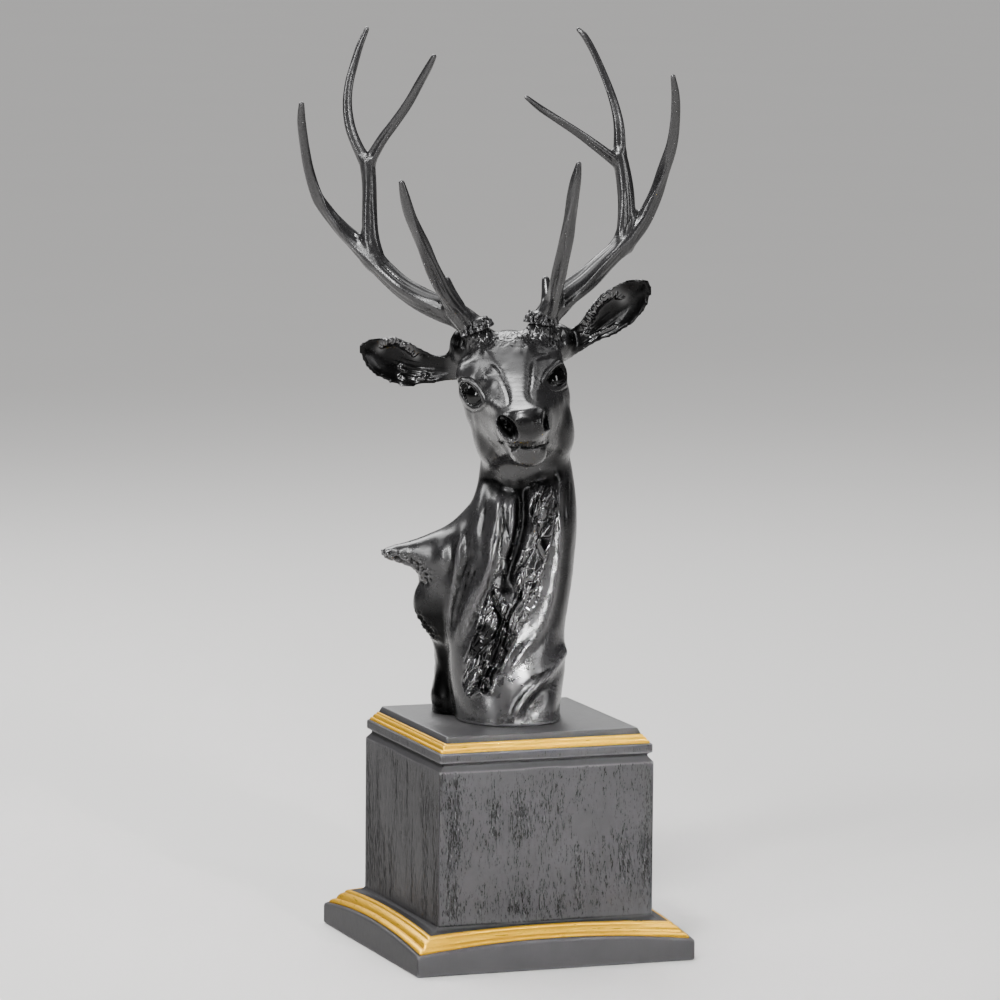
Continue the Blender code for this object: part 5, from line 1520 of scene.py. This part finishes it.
def resin_skin_group():
    """Cast resin: mottled and paler on sharp edges, as wear and painted highlight, with glossy places
    and places of painted shade that take the shine away.

    The painted shade is for Metallic, because a metal of a nearly black colour reflects next to nothing.
    """
    tree, enter, leave = new_group(
        "resin_skin",
        [("Tone", "NodeSocketColor", (0.03, 0.03, 0.03, 1)), ("Roughness", "NodeSocketFloat", 0.3),
         ("Mottle", "NodeSocketFloat", 80.0)],
        [("Color", "NodeSocketColor"), ("Roughness", "NodeSocketFloat"), ("Dullness", "NodeSocketFloat"),
         ("Gloss", "NodeSocketFloat"), ("Height", "NodeSocketFloat")])
    place = add_node(tree, "ShaderNodeTexCoord").outputs["Object"]
    relief = attribute(tree, "relief").outputs["Fac"]
    gloss = attribute(tree, "gloss").outputs["Fac"]
    dark = attribute(tree, "dark").outputs["Fac"]
    clouds = noise(tree, place, enter["Mottle"], 5.0, 0.6, 0.4)
    speckle = noise(tree, place, 1100.0, 4.0, 0.6)
    dust = noise(tree, place, 260.0, 3.0)
    # Paler sharp edges: partly wear, partly painted highlight
    worn_and_highlit = maths(tree, "MULTIPLY", ramped(tree, relief, 0.06, 0.45), maths(tree, "ADD", 0.45, clouds))
    # Painted shade in hollows
    hollow = ramped(tree, relief, -0.05, -0.40)
    colour = mixed(tree, clouds, scaled(tree, enter["Tone"], 0.7), scaled(tree, enter["Tone"], 1.30))
    colour = mixed(tree, maths(tree, "MULTIPLY", worn_and_highlit, 0.7), colour, scaled(tree, enter["Tone"], 4.0))
    # All the painted shade, in hollows and where the dark attribute lies, darkens the colour
    all_painted_shade = maths(tree, "MAXIMUM", maths(tree, "MULTIPLY", hollow, 0.8), dark)
    colour = mixed(tree, all_painted_shade, colour, scaled(tree, enter["Tone"], 0.12))
    roughness = maths(tree, "MULTIPLY_ADD", maths(tree, "SUBTRACT", clouds, 0.5), 0.14, enter["Roughness"])
    roughness = maths(tree, "MULTIPLY_ADD", maths(tree, "SUBTRACT", dust, 0.5), 0.10, roughness)
    roughness = maths(tree, "MULTIPLY_ADD", worn_and_highlit, -0.06, roughness)
    roughness = maths(tree, "MULTIPLY", roughness, maths(tree, "MULTIPLY_ADD", gloss, -0.68, 1.0))
    tree.links.new(colour, leave["Color"])
    tree.links.new(roughness, leave["Roughness"])
    # Through Metallic the painted shade also takes the shine away
    painted_shade_metal = maths(tree, "MULTIPLY", all_painted_shade, 0.92)
    tree.links.new(painted_shade_metal, leave["Dullness"])
    tree.links.new(maths(tree, "MULTIPLY", gloss, maths(tree, "SUBTRACT", 1.0, painted_shade_metal)), leave["Gloss"])
    height = maths(tree, "MULTIPLY_ADD", speckle, 0.45, maths(tree, "MULTIPLY", dust, 0.55))
    tree.links.new(maths(tree, "MULTIPLY", height, maths(tree, "SUBTRACT", 1.0, gloss)), leave["Height"])
    return tree


def drawn_grain_group():
    """Fine lines drawn out one way, from 0 to 1, for wood grain, brush marks and antler striation."""
    tree, enter, leave = new_group(
        "drawn_grain",
        [("Vector", "NodeSocketVector", (0, 0, 0)), ("Across", "NodeSocketFloat", 900.0),
         ("Along", "NodeSocketFloat", 60.0)],
        [("Height", "NodeSocketFloat")])
    across, along = enter["Across"], enter["Along"]
    scale = add_node(tree, "ShaderNodeCombineXYZ", {0: across, 1: across, 2: along})
    place = add_node(tree, "ShaderNodeVectorMath", {0: enter["Vector"], 1: scale.outputs[0]},
                     operation="MULTIPLY").outputs[0]
    broad = noise(tree, place, 1.0, 3.0, 0.55, 0.3)
    narrow = noise(tree, place, 2.6, 2.0, 0.5)
    height = maths(tree, "MULTIPLY_ADD", narrow, 0.4, maths(tree, "MULTIPLY", broad, 0.6))
    tree.links.new(height, leave["Height"])
    return tree


def placed(tree, name, make, inputs):
    """The outputs of a node group placed in the tree; it is made the first time it is asked for."""
    group = bpy.data.node_groups.get(name) or make()
    return add_node(tree, "ShaderNodeGroup", inputs, node_tree=group).outputs


def attribute(tree, name):
    return add_node(tree, "ShaderNodeAttribute", attribute_name=name)


# The brown of the painted shade on the gilding in the hollows of its mouldings
SHADED_GOLD = (0.42, 0.19, 0.03, 1.0)


def new_finish(name):
    made = bpy.data.materials.new(name)
    made.use_nodes = True
    return made, made.node_tree, made.node_tree.nodes["Principled BSDF"]


def finish_surface(tree, shader, changing, plain, height, distance):
    """Feeds the shader what changes over the surface, and sets what is the same all over it."""
    for name, socket in changing.items():
        tree.links.new(socket, shader.inputs[name])
    for name, value in plain.items():
        shader.inputs[name].default_value = value
    bump = add_node(tree, "ShaderNodeBump", {"Height": height, "Strength": 1.0, "Distance": distance})
    tree.links.new(bump.outputs["Normal"], shader.inputs["Normal"])


def skin(tree, tone, roughness, mottle):
    return placed(tree, "resin_skin", resin_skin_group,
                  {"Tone": shade(tone), "Roughness": roughness, "Mottle": mottle})


def grain(tree, vector, across, along):
    return placed(tree, "drawn_grain", drawn_grain_group,
                  {"Vector": vector, "Across": across, "Along": along})["Height"]


def bust_finish(settings):
    made, tree, shader = new_finish("bust_resin")
    cast = skin(tree, settings.tone, 0.28, 70.0)
    # Metallic takes the painted shade, which takes the resin's shine away
    finish_surface(tree, shader, {"Base Color": cast["Color"], "Roughness": cast["Roughness"],
                                  "Metallic": cast["Dullness"], "Coat Weight": cast["Gloss"]},
                   {"Specular IOR Level": 0.62, "Coat Roughness": 0.12}, cast["Height"], 0.00003)
    return made


def antler_finish(settings):
    made, tree, shader = new_finish("antler_resin")
    cast = skin(tree, settings.tone, 0.27, 55.0)
    lines = grain(tree, attribute(tree, "branch_place").outputs["Vector"], 700.0, 45.0)
    # Painted shade in the grooves of the striation
    striation_shade = mixed(tree, maths(tree, "MULTIPLY", ramped(tree, lines, 0.62, 0.38), 0.6), cast["Color"],
                   scaled(tree, cast["Color"], 0.35))
    height = maths(tree, "MULTIPLY_ADD", lines, 1.2, cast["Height"])
    # Metallic takes the painted shade, which takes the resin's shine away
    finish_surface(tree, shader, {"Base Color": striation_shade, "Roughness": cast["Roughness"],
                                  "Metallic": cast["Dullness"]},
                   {"Specular IOR Level": 0.60}, height, 0.00008)
    return made


def pore_shade_mask(tree, place):
    """How much of a pore each place of the plinth's grained faces is, from 0 to 1, for the painted shade in
    the pores.
    """
    crowding = attribute(tree, "crowding").outputs["Fac"]
    wood = maths(tree, "MULTIPLY_ADD", crowding, -0.10, grain(tree, place, 1000.0, 190.0))
    drawn = maths(tree, "MULTIPLY", ramped(tree, wood, 0.425, 0.365), ramped(tree, crowding, 0.02, 0.25))
    # The pits cut into the mesh take painted shade too
    cut = ramped(tree, attribute(tree, "pits").outputs["Fac"], 0.35, 0.9)
    return maths(tree, "MAXIMUM", drawn, maths(tree, "MULTIPLY", cut, 0.5))


def gold_leaf(tree, place, gilt, brushed):
    """Gilding in brushed, cloudy tones, with brown painted shade in the mouldings' hollows."""
    gold = mixed(tree, ramped(tree, brushed, 0.30, 0.70), shade(gilt, 0.66), shade(gilt))
    clouds = noise(tree, place, 110.0, 4.0, 0.6)
    gold = mixed(tree, ramped(tree, clouds, 0.62, 0.40), gold, shade(gilt, 0.88))
    # Painted shade in the mouldings' hollows
    hollow = ramped(tree, attribute(tree, "relief").outputs["Fac"], -0.02, -0.25)
    return mixed(tree, maths(tree, "MULTIPLY", hollow, 0.35), gold, SHADED_GOLD)


def plinth_finish(settings):
    made, tree, shader = new_finish("plinth_resin_and_gilding")
    place = add_node(tree, "ShaderNodeTexCoord").outputs["Object"]
    cast = skin(tree, settings.tone, 0.44, 45.0)
    # Pores painted dark as the shade in their pits, and pressed in by the bump
    shaded_pores = pore_shade_mask(tree, place)
    black = mixed(tree, maths(tree, "MULTIPLY", shaded_pores, 0.92), cast["Color"],
                  scaled(tree, cast["Color"], 0.12))
    ragged = maths(tree, "SUBTRACT", noise(tree, place, 420.0, 3.0), 0.5)
    gilt = attribute(tree, "gilt").outputs["Fac"]
    gilded = ramped(tree, maths(tree, "MULTIPLY_ADD", ragged, 0.5, gilt), 0.42, 0.56)
    brushed = grain(tree, place, 60.0, 1500.0)
    colour = mixed(tree, gilded, black, gold_leaf(tree, place, settings.gilt, brushed))
    gold_rough = maths(tree, "MULTIPLY_ADD", maths(tree, "SUBTRACT", brushed, 0.5), 0.20, 0.30)
    roughness = add_node(tree, "ShaderNodeMix", {0: gilded, 2: cast["Roughness"], 3: gold_rough}).outputs[0]
    # Metallic: the resin's painted shade, and the gilding's metal
    metal = add_node(tree, "ShaderNodeMix", {0: gilded, 2: cast["Dullness"], 3: 0.80}).outputs[0]
    height = maths(tree, "MULTIPLY_ADD", shaded_pores, -1.6, cast["Height"])
    height = maths(tree, "MULTIPLY_ADD", maths(tree, "MULTIPLY", gilded, brushed), 0.9, height)
    finish_surface(tree, shader, {"Base Color": colour, "Roughness": roughness, "Metallic": metal,
                                  "Coat Weight": attribute(tree, "polish").outputs["Fac"]},
                   {"Specular IOR Level": 0.08, "Coat Roughness": 0.44}, height, 0.00010)
    return made


def floor_finish(tone):
    made, tree, shader = new_finish("floor")
    place = add_node(tree, "ShaderNodeTexCoord").outputs["Object"]
    soft = mixed(tree, noise(tree, place, 3.0, 4.0), shade(tone, 0.97), shade(tone))
    tree.links.new(soft, shader.inputs["Base Color"])
    shader.inputs["Roughness"].default_value = 0.75
    shader.inputs["Specular IOR Level"].default_value = 0.2
    return made


def add_object(name, data, *finishes):
    thing = bpy.data.objects.new(name, data)
    bpy.context.scene.collection.objects.link(thing)
    for item in finishes:
        data.materials.append(item)
    return thing


def stand_on_plinth(mesh):
    """From the bust's own millimetres to metres in the frame, on the plinth's top."""
    rise = Matrix.Translation((0, 0, PLINTH_HIGH.z + SEAT_GAP))
    mesh.transform(rise @ Matrix.Rotation(BUST_TURN, 4, "Z") @ Matrix.Scale(BUST_UNIT, 4))
    return mesh


# How far a piece's box may differ from its node's
FIT = 0.004


def dress(piece, node):
    """The piece stands for the frame's node and rides on its body; its box must match the node's, and the
    node is hidden.
    """
    low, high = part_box(node)
    points = mesh_points(piece.data)
    if np.abs(points.min(axis=0) - low).max() > FIT or np.abs(points.max(axis=0) - high).max() > FIT:
        raise RuntimeError(piece.name + " doesn't lie where " + node + " is")
    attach(piece, "root")
    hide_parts(node)


class STAG_OT_plinth(bpy.types.Operator):
    """Model the moulded plinth with its wood grain and its gilded rims"""
    bl_idname = "stag.plinth"
    bl_label = "Plinth"

    def execute(self, context):
        settings = context.scene.stag_plinth
        mesh = plinth_mesh(settings)
        store_relief(mesh)
        mesh.shade_smooth()
        mesh.set_sharp_from_angle(angle=radians(38))
        dress(add_object("plinth_cast", mesh, plinth_finish(settings)), "plinth")
        return {"FINISHED"}


class STAG_OT_bust(bpy.types.Operator):
    """Sculpt the stag's head, its neck and the torn shoulder"""
    bl_idname = "stag.bust"
    bl_label = "Bust"

    def execute(self, context):
        settings = context.scene.stag_bust
        mesh = bust_mesh(settings)
        store_relief(mesh)
        mesh.shade_smooth()
        dress(add_object("bust_cast", stand_on_plinth(mesh), bust_finish(settings)), "bust")
        return {"FINISHED"}


class STAG_OT_antlers(bpy.types.Operator):
    """Model both antlers with their burrs and long ridges"""
    bl_idname = "stag.antlers"
    bl_label = "Antlers"

    def execute(self, context):
        settings = context.scene.stag_antlers
        finish = antler_finish(settings)
        for side in ("left", "right"):
            mesh = antler_mesh(side, settings)
            store_relief(mesh)
            mesh.shade_smooth()
            piece = add_object("antler_" + side + "_cast", stand_on_plinth(mesh), finish)
            dress(piece, "antler_" + side)
        return {"FINISHED"}


# The camera's place and aim in the bust's frame, as fitted to the plinth's corners
CAMERA_PLACE = Vector((0.0, -3.8890, 0.7876))
CAMERA_AIM = radians(-0.10)
CAMERA_PITCH = radians(-7.27)
CAMERA_ROLL = radians(0.50)
# Soft lights: name, place and aim in the bust's frame, width and height, spread, setting with the power
MIDDLE = (0, 0, 0.32)
LIGHTS = [
    ("key", (-0.5, -1.6, 2.1), MIDDLE, (0.35, 0.35), 180, "key_power"),
    ("left", (-1.3, -1.9, 1.2), MIDDLE, (0.16, 1.4), 180, "left_power"),
    ("right", (2.1, -1.5, 1.0), MIDDLE, (0.3, 1.4), 180, "right_power"),
    ("back", (-0.9, 1.3, 1.7), MIDDLE, (2.6, 1.0), 180, "back_power"),
    ("low", (1.1, -2.2, 0.4), (0, 0, 0.09), (0.5, 0.12), 12, "low_power")]
# The even light: where it comes from and how wide it is, and the dim room all round
SKY = Vector((0.05, 1.0, 1.75))
SKY_ANGLE = radians(70)
ROOM_COLOUR = (0.80, 0.80, 0.81, 1.0)
ROOM_STRENGTH = 0.08
FLOOR_DROP = 0.0001


def aim_camera(camera):
    """Puts the camera at the photograph's angle, with its roll."""
    forward = Vector((sin(CAMERA_AIM) * cos(CAMERA_PITCH), cos(CAMERA_AIM) * cos(CAMERA_PITCH),
                      sin(CAMERA_PITCH)))
    level = Vector((cos(CAMERA_AIM), -sin(CAMERA_AIM), 0))
    rise = level.cross(forward)
    right = cos(CAMERA_ROLL) * level + sin(CAMERA_ROLL) * rise
    up = cos(CAMERA_ROLL) * rise - sin(CAMERA_ROLL) * level
    turned = Matrix((right, up, -forward)).transposed().to_4x4()
    turned.translation = CAMERA_PLACE
    camera.matrix_world = Matrix.Rotation(BUST_TURN, 4, "Z") @ turned


def add_lamp(light, aim, place=(0, 0, 0)):
    """A light that stands at a place of the frame and shines along a direction."""
    lamp = bpy.data.objects.new(light.name, light)
    bpy.context.scene.collection.objects.link(lamp)
    lamp.location = place
    lamp.rotation_euler = aim.to_track_quat("-Z", "Y").to_euler()


def add_lights(settings):
    turn = Matrix.Rotation(BUST_TURN, 4, "Z")
    for name, place, aim, size, spread, power in LIGHTS:
        light = bpy.data.lights.new(name, "AREA")
        light.shape = "RECTANGLE"
        light.size, light.size_y = size
        light.spread = radians(spread)
        light.energy = getattr(settings, power)
        add_lamp(light, Vector(aim) - turn @ Vector(place), turn @ Vector(place))
    sky = bpy.data.lights.new("sky", "SUN")
    sky.energy = settings.sky_strength
    sky.angle = SKY_ANGLE
    add_lamp(sky, -(turn @ SKY))
    world = bpy.data.worlds.new("studio")
    world.use_nodes = True
    room = world.node_tree.nodes["Background"]
    room.inputs["Color"].default_value = ROOM_COLOUR
    room.inputs["Strength"].default_value = ROOM_STRENGTH
    bpy.context.scene.world = world


class STAG_OT_stage(bpy.types.Operator):
    """Set up the floor, the soft lights and the camera"""
    bl_idname = "stag.stage"
    bl_label = "Stage"

    def execute(self, context):
        settings = context.scene.stag_stage
        shape = bmesh.new()
        bmesh.ops.create_circle(shape, cap_ends=True, segments=96, radius=settings.floor_radius)
        floor = add_object("floor", as_mesh("floor", shape), floor_finish(settings.floor_tone))
        floor.location.z = -FLOOR_DROP
        add_lights(settings)
        view = bpy.data.cameras.new("camera")
        view.sensor_width = 36
        view.lens = settings.lens
        camera = bpy.data.objects.new("camera", view)
        context.scene.collection.objects.link(camera)
        aim_camera(camera)
        context.scene.camera = camera
        return {"FINISHED"}


class STAG_PT_panel(bpy.types.Panel):
    """The pieces of the stag bust and their settings"""
    bl_idname = "STAG_PT_panel"
    bl_label = "Stag bust"
    bl_space_type = "VIEW_3D"
    bl_region_type = "UI"
    bl_category = "Stag bust"

    def draw(self, context):
        for operator, holder in PIECES:
            settings = getattr(context.scene, holder)
            box = self.layout.box()
            box.operator(operator)
            for name in settings.__annotations__:
                box.prop(settings, name)


# Each piece's operator and where the scene holds its settings
PIECES = [("stag.plinth", "stag_plinth"), ("stag.bust", "stag_bust"), ("stag.antlers", "stag_antlers"),
          ("stag.stage", "stag_stage")]
GROUPS = [StagPlinthSettings, StagBustSettings, StagAntlerSettings, StagStageSettings]
CLASSES = GROUPS + [STAG_OT_plinth, STAG_OT_bust, STAG_OT_antlers, STAG_OT_stage, STAG_PT_panel]


def register():
    for kind in CLASSES:
        bpy.utils.register_class(kind)
    for (_, holder), kind in zip(PIECES, GROUPS):
        setattr(bpy.types.Scene, holder, PointerProperty(type=kind))


def unregister():
    for _, holder in PIECES:
        delattr(bpy.types.Scene, holder)
    for kind in reversed(CLASSES):
        bpy.utils.unregister_class(kind)


def main():
    register()
    bpy.ops.stag.plinth()
    bpy.ops.stag.bust()
    bpy.ops.stag.antlers()
    bpy.ops.stag.stage()


if __name__ == "__main__":
    main()
